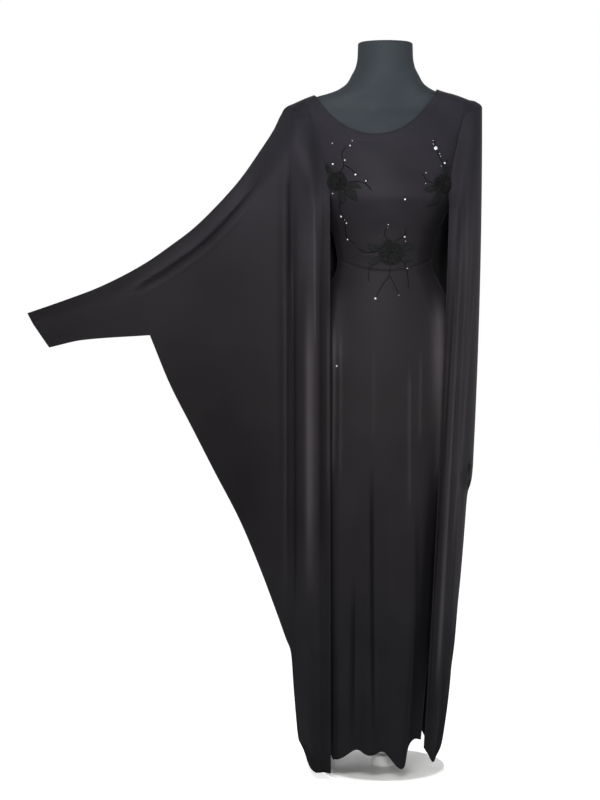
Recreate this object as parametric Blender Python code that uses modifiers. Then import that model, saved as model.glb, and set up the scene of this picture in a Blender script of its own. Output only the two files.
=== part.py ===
"""Kaftan with butterfly wings, worn on a limbless dress form with a round base.

Metres, +Z up. The front faces -Y and +X is the viewer's right. The origin is the centre of the
base's underside. The plane y = 0 holds the shoulder seams, the side seams and the closed edges
of the wings, and depth is the distance from it. Reach is the distance from the plane x = 0.
Cloth is modelled by its inner face, and its wall grows outwards.
"""

import bmesh
import bpy
import numpy as np

# Walls and fits
CLOTH = 0.002
GAP = 0.0003
LIFT = 0.0030  # of the cloth over the shoulders of the form
FRONT, BACK = -1, 1
LEFT, RIGHT = -1, 1

# The form, bottom to top
HEIGHT, HALF, DEEP_FRONT, DEEP_BACK = range(4)
FORM = [
    # height, half width, depth in front, depth behind
    (0.7200, 0.138, 0.096, 0.108),  # underside
    (0.7900, 0.150, 0.102, 0.120),
    (0.8650, 0.156, 0.105, 0.126),  # hips
    (0.9450, 0.142, 0.099, 0.110),
    (1.0050, 0.114, 0.088, 0.086),
    (1.0600, 0.094, 0.078, 0.072),  # waist
    (1.1130, 0.102, 0.084, 0.074),
    (1.1630, 0.124, 0.098, 0.082),
    (1.2080, 0.142, 0.106, 0.092),  # bust
    (1.2630, 0.150, 0.100, 0.100),
    (1.3130, 0.158, 0.084, 0.103),
    (1.3460, 0.175, 0.068, 0.088),
    (1.3660, 0.191, 0.057, 0.072),
    (1.3740, 0.194, 0.052, 0.064),  # shoulder tips
    (1.3840, 0.185, 0.049, 0.058),
    (1.3955, 0.165, 0.050, 0.056),
    (1.4060, 0.137, 0.052, 0.057),
    (1.4110, 0.118, 0.053, 0.057),
    (1.4200, 0.095, 0.054, 0.057),
    (1.4330, 0.078, 0.055, 0.057),
    (1.4490, 0.069, 0.055, 0.056),
    (1.4650, 0.061, 0.055, 0.056),
    (1.4850, 0.057, 0.055, 0.055),
    (1.5110, 0.056, 0.055, 0.055),
    (1.5142, 0.0548, 0.0538, 0.0538),
    (1.5150, 0.052, 0.051, 0.051),  # top of the neck
]
SHOULDER_TIP = 1.3740
BUST_RISE, BUST_REACH, BUST_HEIGHT, BUST_WIDTH = 0.011, 0.068, 1.205, 0.046
POLE_RADIUS = 0.0125
BASE_RADIUS, BASE_THICK, HUB_RADIUS, HUB_HEIGHT = 0.130, 0.010, 0.024, 0.034

# The bodice
EASE = [
    # height, room between the form and the cloth
    (1.04, 0.0030),
    (1.12, 0.0032),
    (1.18, 0.0042),
    (1.22, 0.0026),
    (1.30, 0.0022),
    (1.36, 0.0040),
    (1.41, 0.0040),
    (1.45, 0.0018),
]
ARMHOLE = 1.158  # height of its lowest point, in the side seam
SEAM_SPARE = 0.0008  # across, beside the wings
CORNER_CUT = 0.012  # how far below the wing's seam the armhole starts to widen
SHOULDER_TURN, TURN_RUN = 0.4, 0.08  # of a quarter turn that the columns spread over, above the armhole
WAIST_LOW, WAIST_RISE = 1.0505, 0.0225  # the seam in the middle, and how much higher it ends
WAIST_HALF = 0.097
NECK_MIDDLE, NECK_HALF, NECK_POWER = -0.023, 0.1275, 2.3  # the left wing pulls it aside
NECK_LOW = {FRONT: 1.3248, BACK: 1.3930}
NECK_END = 1.4160

# The skirt, top to bottom
SKIRT = [
    # height, middle, half width, depth in front, depth behind
    (0.020, -0.028, 0.092, 0.122, 0.130),
    (0.200, -0.023, 0.102, 0.120, 0.130),
    (0.400, -0.017, 0.120, 0.118, 0.131),
    (0.600, -0.010, 0.142, 0.115, 0.132),
    (0.750, -0.004, 0.156, 0.114, 0.133),
    (0.865, 0.000, 0.161, 0.113, 0.133),
    (0.945, 0.000, 0.148, 0.106, 0.118),
    (1.005, 0.000, 0.121, 0.094, 0.094),
    (1.060, 0.000, 0.097, 0.081, 0.075),
]
SKIRT_JOIN = 0.05  # height over which the skirt leaves the waist's section
SKIRT_FOLDS = [
    # degrees round from the right side seam, width, rise, top of the fold, drop of the hem
    (0, 12, 0.011, 0.80, 0.012),
    (57, 12, 0.016, 0.90, 0.046),
    (93, 10, 0.013, 0.66, 0.013),
    (128, 11, 0.016, 0.86, 0.025),
    (180, 12, 0.011, 0.80, 0.014),
    (214, 11, 0.014, 0.82, 0.030),
    (249, 12, 0.016, 0.86, 0.018),
    (285, 11, 0.014, 0.70, 0.036),
    (322, 12, 0.015, 0.88, 0.022),
]
SKIRT_HEM, FOLD_RUN = 0.076, 0.52
SEAM_BAND = 0.005  # width of the row of faces beside the waist seam
DROP_WIDTH, SKIRT_POWER = 1.2, 1.3

# The wings
HANG = {
    # height, depth at the inner edge, depth at the shoulder's end
    FRONT: [
        (0.02, 0.108, 0.060),
        (0.48, 0.106, 0.058),
        (0.86, 0.100, 0.056),
        (0.98, 0.094, 0.055),
        (1.22, 0.085, 0.052),
        (1.42, 0.060, 0.046),
    ],
    BACK: [
        (0.02, 0.114, 0.062),
        (0.48, 0.113, 0.062),
        (0.86, 0.112, 0.062),
        (0.98, 0.104, 0.062),
        (1.22, 0.092, 0.062),
        (1.42, 0.066, 0.052),
    ],
}
SHOULDER_END, WRIST_DEPTH, WRIST_REACH, THINNING = 0.200, 0.020, 0.7400, 0.7
LEAVE = 0.060  # distance from the seam over which a wing leaves the body
SOFTEN = 0.004  # of the line where a wing comes to lie on the body
FULL_HEIGHT = 0.85  # below it a wing's side edge closes over a shorter way
OVERLAY = 0.0044  # of a wing where it lies over the bodice's slanting wall
ROW_POWER, SEAM_POWER = 2.0, 1.6  # how much closer rows and sections lie at the shoulder
SEAM_TOP = 0.165  # reach of the seam's end on the shoulder
LEFT_TOP = [
    # reach, height of the closed top edge, shoulder to wrist
    (0.2045, 1.3830),
    (0.2285, 1.3373),
    (0.2553, 1.2964),
    (0.2987, 1.2350),
    (0.3505, 1.1775),
    (0.3981, 1.1323),
    (0.4438, 1.0983),
    (0.4850, 1.0695),
    (0.5372, 1.0395),
    (0.5975, 1.0110),
    (0.6619, 0.9870),
    (0.7400, 0.9600),
]
LEFT_SECTIONS = [
    # one list for each stretch; a row is reach at the top edge, then reach and height below
    [  # sleeve, wrist to underarm
        (0.7400, 0.6955, 0.8895),
        (0.6619, 0.6274, 0.9049),
        (0.5975, 0.5692, 0.9101),
        (0.5372, 0.5173, 0.9132),
        (0.4850, 0.4862, 0.9152),
    ],
    [  # side edge, underarm to below the shoulder's corner
        (0.4850, 0.4862, 0.9152),
        (0.4438, 0.4452, 0.8134),
        (0.3981, 0.3999, 0.7236),
        (0.3505, 0.3523, 0.6294),
        (0.2987, 0.3004, 0.5285),
        (0.2553, 0.2567, 0.4230),
        (0.2285, 0.2253, 0.3383),
        (0.2045, 0.2035, 0.2770),
    ],
    [  # side edge to the hem's corner, under the shoulder seam
        (0.2045, 0.2035, 0.2770),
        (0.1935, 0.1935, 0.2491),
        (0.1850, 0.1865, 0.1574),
        (0.1720, 0.1765, 0.0600),
        (0.1650, 0.1668, 0.0480),
    ],
    [  # hem, under the seam with the bodice
        (0.1650, 0.1668, 0.0480),
        (0.1524, 0.1524, 0.0250),
        (0.1397, 0.1397, 0.0180),
        (0.1270, 0.1270, 0.0180),
        (0.1145, 0.1115, 0.0190),
    ],
]
RIGHT_TOP = [(0.1995, 1.3800)]
EDGE_START = 0.188  # reach where a wing's closed top edge leaves the shoulder seam
TOP_START, TOP_POINTS, POINTS_PER_ROW = 0.09, 48, 6  # of the lines that the closed edges follow
RIGHT_SECTIONS = [
    [  # mouth of the hanging sleeve
        (0.1985, 0.1845, 0.6450),
        (0.1962, 0.1822, 0.6260),
        (0.1930, 0.1790, 0.6090),
        (0.1880, 0.1736, 0.5916),
        (0.1840, 0.1716, 0.5706),
    ],
    [  # side edge to the hem's corner
        (0.1840, 0.1716, 0.5706),
        (0.1800, 0.1659, 0.4864),
        (0.1765, 0.1601, 0.4124),
        (0.1725, 0.1542, 0.3489),
        (0.1690, 0.1484, 0.2746),
        (0.1650, 0.1402, 0.2100),
    ],
    [  # side edge and hem, under the seam with the bodice
        (0.1650, 0.1402, 0.2100),
        (0.1556, 0.1290, 0.1280),
        (0.1462, 0.1159, 0.0612),
        (0.1368, 0.0990, 0.0396),
        (0.1320, 0.0890, 0.0540),
        (0.1274, 0.0785, 0.0737),
    ],
]
LEFT_FOLDS = [
    # reach at the shoulder, reach at the hem, width, rise (below 0: a groove), top of the fold
    (0.208, 0.204, 0.009, 0.006, 1.34),
    (0.191, 0.186, 0.009, -0.009, 1.32),
    (0.152, 0.150, 0.015, 0.010, 1.36),
    (0.127, 0.125, 0.007, -0.006, 1.22),
]
RIGHT_FOLDS = [
    (0.143, 0.088, 0.006, -0.006, 1.20),
    (0.155, 0.099, 0.008, 0.009, 1.34),
    (0.167, 0.110, 0.007, -0.009, 1.32),
    (0.179, 0.124, 0.007, 0.006, 1.30),
]
BACK_FOLDS = [
    (0.186, 0.176, 0.012, -0.008, 1.28),
    (0.160, 0.145, 0.014, 0.010, 1.32),
]
NIP_HEIGHT, NIP_WIDTH = 1.060, 0.085  # where a back layer's free edge swings in at the waist
FOLD_GROW = 0.30  # height over which a wing's fold grows to its full rise
FOLD_TOP, FOLD_FOOT = 1.35, 0.05  # heights that a fold's two reaches belong to
CREASE_OFF, CREASE_WIDTH, CREASE_RISE = 0.034, 0.012, -0.006
CREASE_FROM, CREASE_TO = 0.25, 0.56
WINGS = {
    LEFT: {
        "name": "left",
        "top": LEFT_TOP,
        "sections": LEFT_SECTIONS,
        "columns": {FRONT: (7, 11, 6, 13), BACK: (6, 9, 4, 8)},
        "rows": {FRONT: 18, BACK: 15},
        "seam_low": (0.1145, 1.2252),
        "folds": LEFT_FOLDS,
        "closed_from": 0.172,  # least reach of the side edge that is sewn shut
        "mouth": (0.7180, 0.9250, 0.0, 0.030),
        "top_ease": 0.055,
        "side_ease": (0.045, 0.085),
        "roundness": 1.0,
        "bow": 0.0,
        "nip": {FRONT: 0.0, BACK: 0.026},
        "crease": True,
    },
    RIGHT: {
        "name": "right",
        "top": RIGHT_TOP,
        "sections": RIGHT_SECTIONS,
        "columns": {FRONT: (7, 6, 12), BACK: (6, 5, 8)},
        "rows": {FRONT: 17, BACK: 15},
        "seam_low": (0.1274, 1.2235),
        "folds": RIGHT_FOLDS,
        "closed_from": 0.112,
        "mouth": (0.1790, 0.6090, 0.014, 0.024),  # reach, height, how far it gapes, half width
        "top_ease": 0.050,
        "side_ease": (0.040, 0.0),
        "roundness": 0.5,
        "bow": 0.0050,
        "nip": {FRONT: 0.0, BACK: 0.034},
        "crease": False,
    },
}

# The cloth flowers
FLOWERS = [
    # name, x, height, radius, petals, turn in degrees
    ("flower_left", -0.0985, 1.2290, 0.0200, 6, 10),
    ("flower_right", 0.1130, 1.2235, 0.0205, 6, 35),
    ("flower_waist", 0.0085, 1.0850, 0.0260, 7, 0),
]
PETAL_RISE, RIM_RISE, PETAL_DENT = 0.0055, 0.0016, 0.16
FLOWER_ROOM = 0.0014  # for the flat facets of the cloth under a flower
FLOWER_SPARE = 0.008  # how far past a wing's edge a flower still clears the wing

# Grids
BODY_COLUMNS = {FRONT: 28, BACK: 20}
BODICE_COLUMNS = [
    # share of the columns, place across: closer together at the neckline's ends
    (0.00, -1.00),
    (0.07, -0.97),
    (0.14, -0.91),
    (0.21, -0.84),
    (0.76, 0.54),
    (0.83, 0.61),
    (0.90, 0.72),
    (1.00, 1.00),
]
BODICE_SHARES = (  # of the way from the waist to the top edge, closer at the armhole and the shoulder
    (0, 0.1, 0.19, 0.27, 0.33, 0.38, 0.42, 0.46, 0.52)
    + (0.60, 0.69, 0.78, 0.86, 0.92, 0.96, 0.985, 0.995, 1)
)
SKIRT_ROWS = {FRONT: 15, BACK: 12}
FORM_COLUMNS, FLOWER_COLUMNS, FLOWER_RINGS = 36, 30, 3


def curve(table, column, at):
    """A table's column as a smooth curve that never overshoots its rows."""
    rows = np.array(table, float)
    knots, values = rows[:, 0], rows[:, column]
    if knots[0] > knots[-1]:
        knots, values = knots[::-1], values[::-1]
    secants = np.diff(values) / np.diff(knots)
    before, after = secants[:-1], secants[1:]
    same = before * after > 0
    total = np.where(same, before + after, 1.0)
    inner = np.where(same, 2 * before * after / total, 0.0)
    slopes = np.concatenate([secants[:1], inner, secants[-1:]])
    at = np.clip(at, knots[0], knots[-1])
    cell = np.clip(np.searchsorted(knots, at) - 1, 0, len(knots) - 2)
    step = np.diff(knots)[cell]
    t = (at - knots[cell]) / step
    ends = values[cell] * (1 + 2 * t) * (1 - t) ** 2 + values[cell + 1] * t * t * (3 - 2 * t)
    return ends + step * t * (1 - t) * (slopes[cell] * (1 - t) - slopes[cell + 1] * t)


def soft_step(t):
    t = np.clip(t, 0, 1)
    return t * t * (3 - 2 * t)


def bell(t):
    return np.exp(-t * t)


def bust(x, height, bridged):
    """The bust's rise. Cloth bridges it in the middle, and the form doesn't."""
    off = np.abs(x) - BUST_REACH
    if bridged:
        off = np.maximum(off, 0)
    return BUST_RISE * bell(off / BUST_WIDTH) * bell((height - BUST_HEIGHT) / BUST_WIDTH)


def body_half(height):
    """Half width of the cloth's inner face on the body."""
    return curve(FORM, HALF, height - LIFT) + curve(EASE, 1, height)


def body_depth(x, height, side):
    """Depth of the cloth's inner face on the body: an ellipse at each height, and the bust."""
    column = DEEP_FRONT if side == FRONT else DEEP_BACK
    deep = curve(FORM, column, height - LIFT) + curve(EASE, 1, height)
    if side == FRONT:
        deep = deep + bust(x, height, True)
    return deep * np.sqrt(np.clip(1 - (x / body_half(height)) ** 2, 0, 1))


def slants(depth_at, x, height):
    """How fast a depth changes, across and upwards."""
    step = 0.001
    depth = depth_at(x, height)
    return (depth_at(x + step, height) - depth) / step, (depth_at(x, height + step) - depth) / step


def ridge(reach):
    """Height of the shoulder seam."""
    heights = np.linspace(SHOULDER_TIP, FORM[-1][HEIGHT], 400)
    return np.interp(reach, body_half(heights + LIFT)[::-1], (heights + LIFT)[::-1])


def seam_height(wing, reach):
    """Height of the seam between wing and bodice, a straight line on the chest."""
    low_reach, low_height = wing["seam_low"]
    return np.interp(reach, (low_reach, SEAM_TOP), (low_height, float(ridge(SEAM_TOP))))


def seam_reach(wing, height):
    low_reach, low_height = wing["seam_low"]
    return np.interp(height, (low_height, float(ridge(SEAM_TOP))), (low_reach, SEAM_TOP))


def seam_room(wing, height):
    """Gap across between the inner faces at that seam, because the bodice's wall leans over."""
    across, upwards = slants(lambda x, z: body_depth(x, z, FRONT), seam_reach(wing, height), height)
    return SEAM_SPARE + CLOTH * np.abs(across) / np.sqrt(1 + across**2 + upwards**2)


def top_height(wing, reach):
    """A wing's upper outline: the seam, the shoulder seam, then its closed top edge."""
    edge = curve([(EDGE_START, float(ridge(EDGE_START)))] + wing["top"], 1, reach)
    shoulder = np.where(reach > SEAM_TOP, ridge(reach), seam_height(wing, reach))
    return np.where(reach > EDGE_START, edge, shoulder)


def spread(rows, count, power):
    """Count sections along a stretch, smoothly between its rows, closer at its start."""
    numbered = [(i, *row) for i, row in enumerate(rows)]
    at = (len(rows) - 1) * np.linspace(0, 1, count) ** power
    return np.stack([curve(numbered, k + 1, at) for k in range(len(rows[0]))], axis=1)


def wing_sections(wing, side):
    """Reach and height of each section's upper and lower end, from wrist or mouth inwards."""
    powers = [1.0] * (len(wing["sections"]) - 1) + [SEAM_POWER]
    stretches = zip(wing["sections"], wing["columns"][side], powers)
    parts = [spread(rows, count, power) for rows, count, power in stretches]
    rows = np.concatenate([parts[0]] + [part[1:] for part in parts[1:]])
    return rows[:, 0], top_height(wing, rows[:, 0]), rows[:, 1], rows[:, 2]


def distance(x, z, line):
    """Distance of points to a line of straight stretches."""
    best = np.full(np.shape(x), np.inf)
    for (ax, az), (bx, bz) in zip(line[:-1], line[1:]):
        dx, dz = bx - ax, bz - az
        t = np.clip(((x - ax) * dx + (z - az) * dz) / (dx * dx + dz * dz), 0, 1)
        best = np.minimum(best, np.hypot(x - ax - t * dx, z - az - t * dz))
    return best


def bowed(wing, reach, share):
    """A column's reach, bowed outwards where the outline is."""
    return reach + wing["bow"] * 4 * share * (1 - share)


def closed_edges(wing):
    """The top edge and the side edge, where a wing's two layers are joined."""
    first = wing["sections"][0][0]
    tops = np.linspace(SEAM_TOP, first[0], TOP_POINTS)
    top = list(zip(tops, top_height(wing, tops)))
    top.insert(0, (TOP_START, float(ridge(TOP_START))))
    if wing["bow"]:
        share = np.linspace(1, 0, TOP_POINTS)[1:]
        reach = bowed(wing, first[1] + (first[0] - first[1]) * share, share)
        height = first[2] + (top_height(wing, first[0]) - first[2]) * share
        top += list(zip(reach, height))
    side = []
    for rows in wing["sections"]:
        stretch = spread(rows, POINTS_PER_ROW * (len(rows) - 1) + 1, 1.0)
        side += [(reach, height) for _, reach, height in stretch[bool(side):]]
    return top, [point for point in side if point[0] >= wing["closed_from"]]


def inner_edge(wing, height):
    """Reach of the wing's free edge, or of its seam above that."""
    low = wing["sections"][-1][-1]
    seam, seam_base = wing["seam_low"]
    free = np.interp(height, (low[2], seam_base), (low[1], seam))
    return np.where(height > seam_base, seam_reach(wing, height), free)


def wing_depth(wing, side, reach, height):
    """Depth of a wing's inner face: it lies on the body at its seam, hangs free below and
    beyond it, and comes down to the plane y = 0 at its closed edges."""
    top, side_edge = closed_edges(wing)
    from_top = distance(reach, height, top)
    from_side = distance(reach, height, side_edge)
    base, more = wing["side_ease"]
    side_ease = base + more * soft_step(height / FULL_HEIGHT)
    t = np.clip(np.minimum(from_top / wing["top_ease"], from_side / side_ease), 0, 1)
    closing = (t * (2 - t)) ** wing["roundness"]
    seam = [wing["seam_low"], (SEAM_TOP, float(ridge(SEAM_TOP)))]
    seam_at = np.clip(height, seam[0][1], seam[1][1])
    sewn = body_depth(seam_reach(wing, seam_at), seam_at, side)
    leaving = soft_step(distance(reach, height, seam) / LEAVE)
    inner, outer = (curve(HANG[side], column, height) for column in (1, 2))
    start = inner_edge(wing, height)
    across = np.clip((reach - start) / (SHOULDER_END - start), 0, 1)
    hang = inner + (outer - inner) * across
    beyond = np.clip((reach - SHOULDER_END) / (WRIST_REACH - SHOULDER_END), 0, 1) ** THINNING
    hang = hang + (WRIST_DEPTH - hang) * beyond
    folds = wing["folds"] if side == FRONT else BACK_FOLDS
    for high, low, width, rise, start in folds:
        middle = np.interp(height, (FOLD_FOOT, FOLD_TOP), (low, high))
        grown = soft_step((start - height) / FOLD_GROW)
        hang = hang + rise * grown * bell((reach - middle) / width)
    if wing["crease"] and side == FRONT:
        along = (reach - CREASE_FROM) / (CREASE_TO - CREASE_FROM)
        shown = soft_step(5 * along) * soft_step(5 * (1 - along))
        hang = hang + CREASE_RISE * shown * bell((from_top - CREASE_OFF) / CREASE_WIDTH)
    hang = (sewn + (hang - sewn) * leaving) * closing
    mouth_reach, mouth_height, opened, mouth_width = wing["mouth"]
    from_mouth = np.hypot(reach - mouth_reach, height - mouth_height)
    hang = hang + opened * bell(from_mouth / mouth_width)
    over = soft_step((wing["seam_low"][1] + CORNER_CUT - height) / CORNER_CUT)
    body = body_depth(reach, height, side)
    body = body + OVERLAY * over * (body > 0)
    soft = SOFTEN * closing * leaving
    return 0.5 * (body + hang + np.sqrt((body - hang) ** 2 + soft**2))


def wing_grid(hand, side):
    """Inner face of one layer of a wing, section by section. At the waist the free edge of a
    back layer swings in."""
    wing = WINGS[hand]
    top_reach, top, low_reach, low = (a[:, None] for a in wing_sections(wing, side))
    rows = np.linspace(0, 1, wing["rows"][side])
    share = 1 - (1 - rows)[None, :] ** ROW_POWER
    reach = bowed(wing, low_reach + (top_reach - low_reach) * share, share)
    height = low + (top - low) * share
    inwards = soft_step((SEAM_TOP - top_reach) / (SEAM_TOP - wing["seam_low"][0]))
    reach = reach - wing["nip"][side] * inwards * bell((height - NIP_HEIGHT) / NIP_WIDTH)
    depth = wing_depth(wing, side, reach, height)
    return np.stack([hand * reach, side * (GAP / 2 + depth), height], axis=2)


def neckline(x, side):
    t = np.abs((x - NECK_MIDDLE) / NECK_HALF)
    low = NECK_LOW[side]
    return np.where(t < 1, low + (NECK_END - low) * t**NECK_POWER, np.inf)


def bodice_edge(hand, height):
    """Reach of the bodice's edge: side seam, armhole, then the seam with the wing."""
    wing = WINGS[hand]
    side_seam = body_half(height)
    corner, corner_height = wing["seam_low"]
    rising = soft_step((height - ARMHOLE) / (corner_height - CORNER_CUT - ARMHOLE))
    room = seam_room(wing, np.maximum(height, corner_height))
    below = side_seam + (corner - room - side_seam) * rising
    return np.where(height > corner_height, seam_reach(wing, height) - room, below)


def bodice_x(c, height):
    """X of a column c, from -1 to 1, bunched at the sides where the section turns back."""
    turn = np.pi / 2 * (1 - (1 - SHOULDER_TURN) * soft_step((height - ARMHOLE) / TURN_RUN))
    edge = np.where(c < 0, bodice_edge(LEFT, height), bodice_edge(RIGHT, height))
    return edge * np.sin(c * turn) / np.sin(turn)


def banded(seam, far, shares):
    """Heights from the waist seam to the piece's far edge, with a narrow row at the seam."""
    start = seam + np.sign(far - seam) * SEAM_BAND
    return np.concatenate([seam, start + (far - start) * np.array(shares)[None, :]], axis=1)


def waist(x):
    return WAIST_LOW + WAIST_RISE * (x / WAIST_HALF) ** 2


def bodice_grid(side):
    """Inner face of the bodice, from the waist seam to the neckline and shoulder seams."""
    c = curve(BODICE_COLUMNS, 1, np.linspace(0, 1, BODY_COLUMNS[side] + 1))
    top, low = np.full(c.shape, 1.36), np.full(c.shape, WAIST_LOW)
    for _ in range(40):
        x = bodice_x(c, top)
        top = 0.5 * top + 0.5 * np.minimum(ridge(np.abs(x)), neckline(x, side))
        low = waist(bodice_x(c, low))
    height = banded(low[:, None], top[:, None], BODICE_SHARES)
    x = bodice_x(c[:, None], height)
    depth = body_depth(x, height, side)
    return np.stack([x, side * (GAP / 2 + depth), height], axis=2)


def skirt_wave(degrees, height):
    """How far the folds stand out, and how far they bring the hem down."""
    wave, drop = np.zeros(np.shape(height)), np.zeros(np.shape(degrees))
    for middle, width, rise, top, lowered in SKIRT_FOLDS:
        off = (degrees - middle + 180) % 360 - 180
        wave = wave + rise * bell(off / width) * soft_step((top - height) / FOLD_RUN)
        drop = drop + lowered * bell(off / (DROP_WIDTH * width))
    return wave, drop


def skirt_grid(side):
    """Inner face of the skirt, an ellipse at each height with folds that grow downwards."""
    round_ = np.linspace(np.pi, 0, BODY_COLUMNS[side] + 1)[:, None]
    degrees = np.degrees(round_) if side == FRONT else 360 - np.degrees(round_)
    hem = SKIRT_HEM - skirt_wave(degrees, np.zeros_like(degrees))[1]
    top = waist(WAIST_HALF * np.cos(round_)) - GAP
    height = banded(top, hem, np.linspace(0, 1, SKIRT_ROWS[side]) ** SKIRT_POWER)[:, ::-1]
    leaving = soft_step((WAIST_LOW - height) / SKIRT_JOIN)
    deep_column = DEEP_FRONT if side == FRONT else DEEP_BACK
    ease = curve(EASE, 1, height)
    half = body_half(height) * (1 - leaving) + curve(SKIRT, 2, height) * leaving
    deep = curve(FORM, deep_column, height - LIFT) + ease
    deep = deep * (1 - leaving) + curve(SKIRT, deep_column + 1, height) * leaving
    middle = curve(SKIRT, 1, height) * leaving
    across, out = np.cos(round_) / half, np.sin(round_) / deep
    wave = skirt_wave(degrees, height)[0] / np.hypot(across, out)
    x = middle + half * np.cos(round_) + wave * across
    depth = deep * np.sin(round_) + wave * out
    return np.stack([x, side * (GAP / 2 + np.maximum(depth, 0)), height], axis=2)


def cloth_depth(x, height):
    """Depth of the front's inner face: the bodice, or a wing beyond its edge."""
    depth = body_depth(x, height, FRONT)
    for hand, wing in WINGS.items():
        reach = hand * x
        on_wing = reach >= inner_edge(wing, height) - FLOWER_SPARE
        depth = np.where(on_wing, np.maximum(depth, wing_depth(wing, FRONT, reach, height)), depth)
    return depth


def cloth_face(x, height):
    """Depth of the front's outer face, thicker across where the cloth slants."""
    across, upwards = slants(cloth_depth, x, height)
    return cloth_depth(x, height) + CLOTH * np.sqrt(1 + np.minimum(across**2 + upwards**2, 1.5))


def material(name, colour, roughness, metallic=0.0):
    made = bpy.data.materials.new(name)
    made.use_nodes = True
    shader = made.node_tree.nodes["Principled BSDF"]
    shader.inputs["Base Color"].default_value = (*colour, 1)
    shader.inputs["Roughness"].default_value = roughness
    shader.inputs["Metallic"].default_value = metallic
    made.diffuse_color = (*colour, 1)
    return made


def add_object(name, mesh, finish, collection):
    thing = bpy.data.objects.new(name, mesh)
    collection.objects.link(thing)
    mesh.materials.append(finish)
    mesh.shade_smooth()
    return thing


def sheet_faces(columns, rows, flipped):
    """Quads between the points of a grid, column by column."""
    i, j = np.meshgrid(np.arange(columns - 1), np.arange(rows - 1), indexing="ij")
    first = (i * rows + j).ravel()
    quads = np.stack([first, first + 1, first + rows + 1, first + rows], axis=1)
    return quads[:, ::-1] if flipped else quads


def add_cloth(name, grid, flipped, finish, collection):
    """A cloth wall: its inner face, thickened outwards by Solidify."""
    columns, rows = grid.shape[:2]
    mesh = bpy.data.meshes.new(name)
    faces = sheet_faces(columns, rows, flipped)
    mesh.from_pydata(grid.reshape(-1, 3).tolist(), [], faces.tolist())
    thing = add_object(name, mesh, finish, collection)
    wall = thing.modifiers.new("wall", "SOLIDIFY")
    wall.thickness = CLOTH
    wall.offset = 1
    wall.use_quality_normals = True
    return thing


def add_form_torso(finish, collection):
    """The torso and neck: an ellipse at each height, with a bust."""
    mesh = bpy.data.meshes.new("form_torso")
    shape = bmesh.new()
    angles = np.linspace(0, 2 * np.pi, FORM_COLUMNS, endpoint=False)
    heights = []
    for low, high in zip(FORM[:-1], FORM[1:]):
        parts = 2 if high[HEIGHT] - low[HEIGHT] > 0.04 else 1
        heights += list(np.linspace(low[HEIGHT], high[HEIGHT], parts, endpoint=False))
    heights.append(FORM[-1][HEIGHT])
    rings = []
    for height in heights:
        half, front, back = (float(curve(FORM, k, height)) for k in (HALF, DEEP_FRONT, DEEP_BACK))
        ring = []
        for angle in angles:
            x, out = half * np.cos(angle), np.sin(angle)
            deep = front + bust(x, height, False) if out > 0 else back
            ring.append(shape.verts.new((x, -deep * out, height)))
        rings.append(ring)
    for lower, upper in zip(rings[:-1], rings[1:]):
        for i in range(FORM_COLUMNS):
            k = (i + 1) % FORM_COLUMNS
            shape.faces.new((lower[i], lower[k], upper[k], upper[i]))
    shape.faces.new(rings[0])
    shape.faces.new(rings[-1])
    bmesh.ops.recalc_face_normals(shape, faces=shape.faces)
    shape.to_mesh(mesh)
    shape.free()
    return add_object("form_torso", mesh, finish, collection)


def add_turned(name, profile, steps, finish, collection):
    """A turned piece: its profile in the plane y = 0, down its outer side, with a Screw."""
    mesh = bpy.data.meshes.new(name)
    points = [(radius, 0, height) for radius, height in profile]
    edges = [(i, i + 1) for i in range(len(points) - 1)]
    mesh.from_pydata(points, edges, [])
    thing = add_object(name, mesh, finish, collection)
    turn = thing.modifiers.new("turn", "SCREW")
    turn.steps = turn.render_steps = steps
    turn.use_merge_vertices = True
    turn.merge_threshold = 0.00001
    return thing


def add_stand(finish, collection):
    """The round base with its hub, and the pole up to the form."""
    edge = 0.003
    base = [
        (0, HUB_HEIGHT),
        (HUB_RADIUS * 0.7, HUB_HEIGHT),
        (HUB_RADIUS * 0.8, HUB_HEIGHT - edge),
        (HUB_RADIUS, BASE_THICK + edge),
        (HUB_RADIUS + edge, BASE_THICK),
        (BASE_RADIUS - edge, BASE_THICK),
        (BASE_RADIUS - 0.3 * edge, BASE_THICK - 0.3 * edge),
        (BASE_RADIUS, BASE_THICK - edge),
        (BASE_RADIUS, 0.5 * edge),
        (BASE_RADIUS - 0.5 * edge, 0),
        (0, 0),
    ]
    add_turned("stand_base", base, 32, finish, collection)
    low, high = HUB_HEIGHT + GAP, FORM[0][HEIGHT] - GAP
    bpy.ops.mesh.primitive_cylinder_add(
        vertices=24, radius=POLE_RADIUS, depth=high - low, location=(0, 0, (low + high) / 2)
    )
    pole = bpy.context.object
    pole.name = pole.data.name = "stand_pole"
    pole.data.materials.append(finish)
    pole.data.shade_smooth()
    pole.data.set_sharp_from_angle(angle=0.6)
    for other in list(pole.users_collection):
        other.objects.unlink(pole)
    collection.objects.link(pole)


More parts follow.
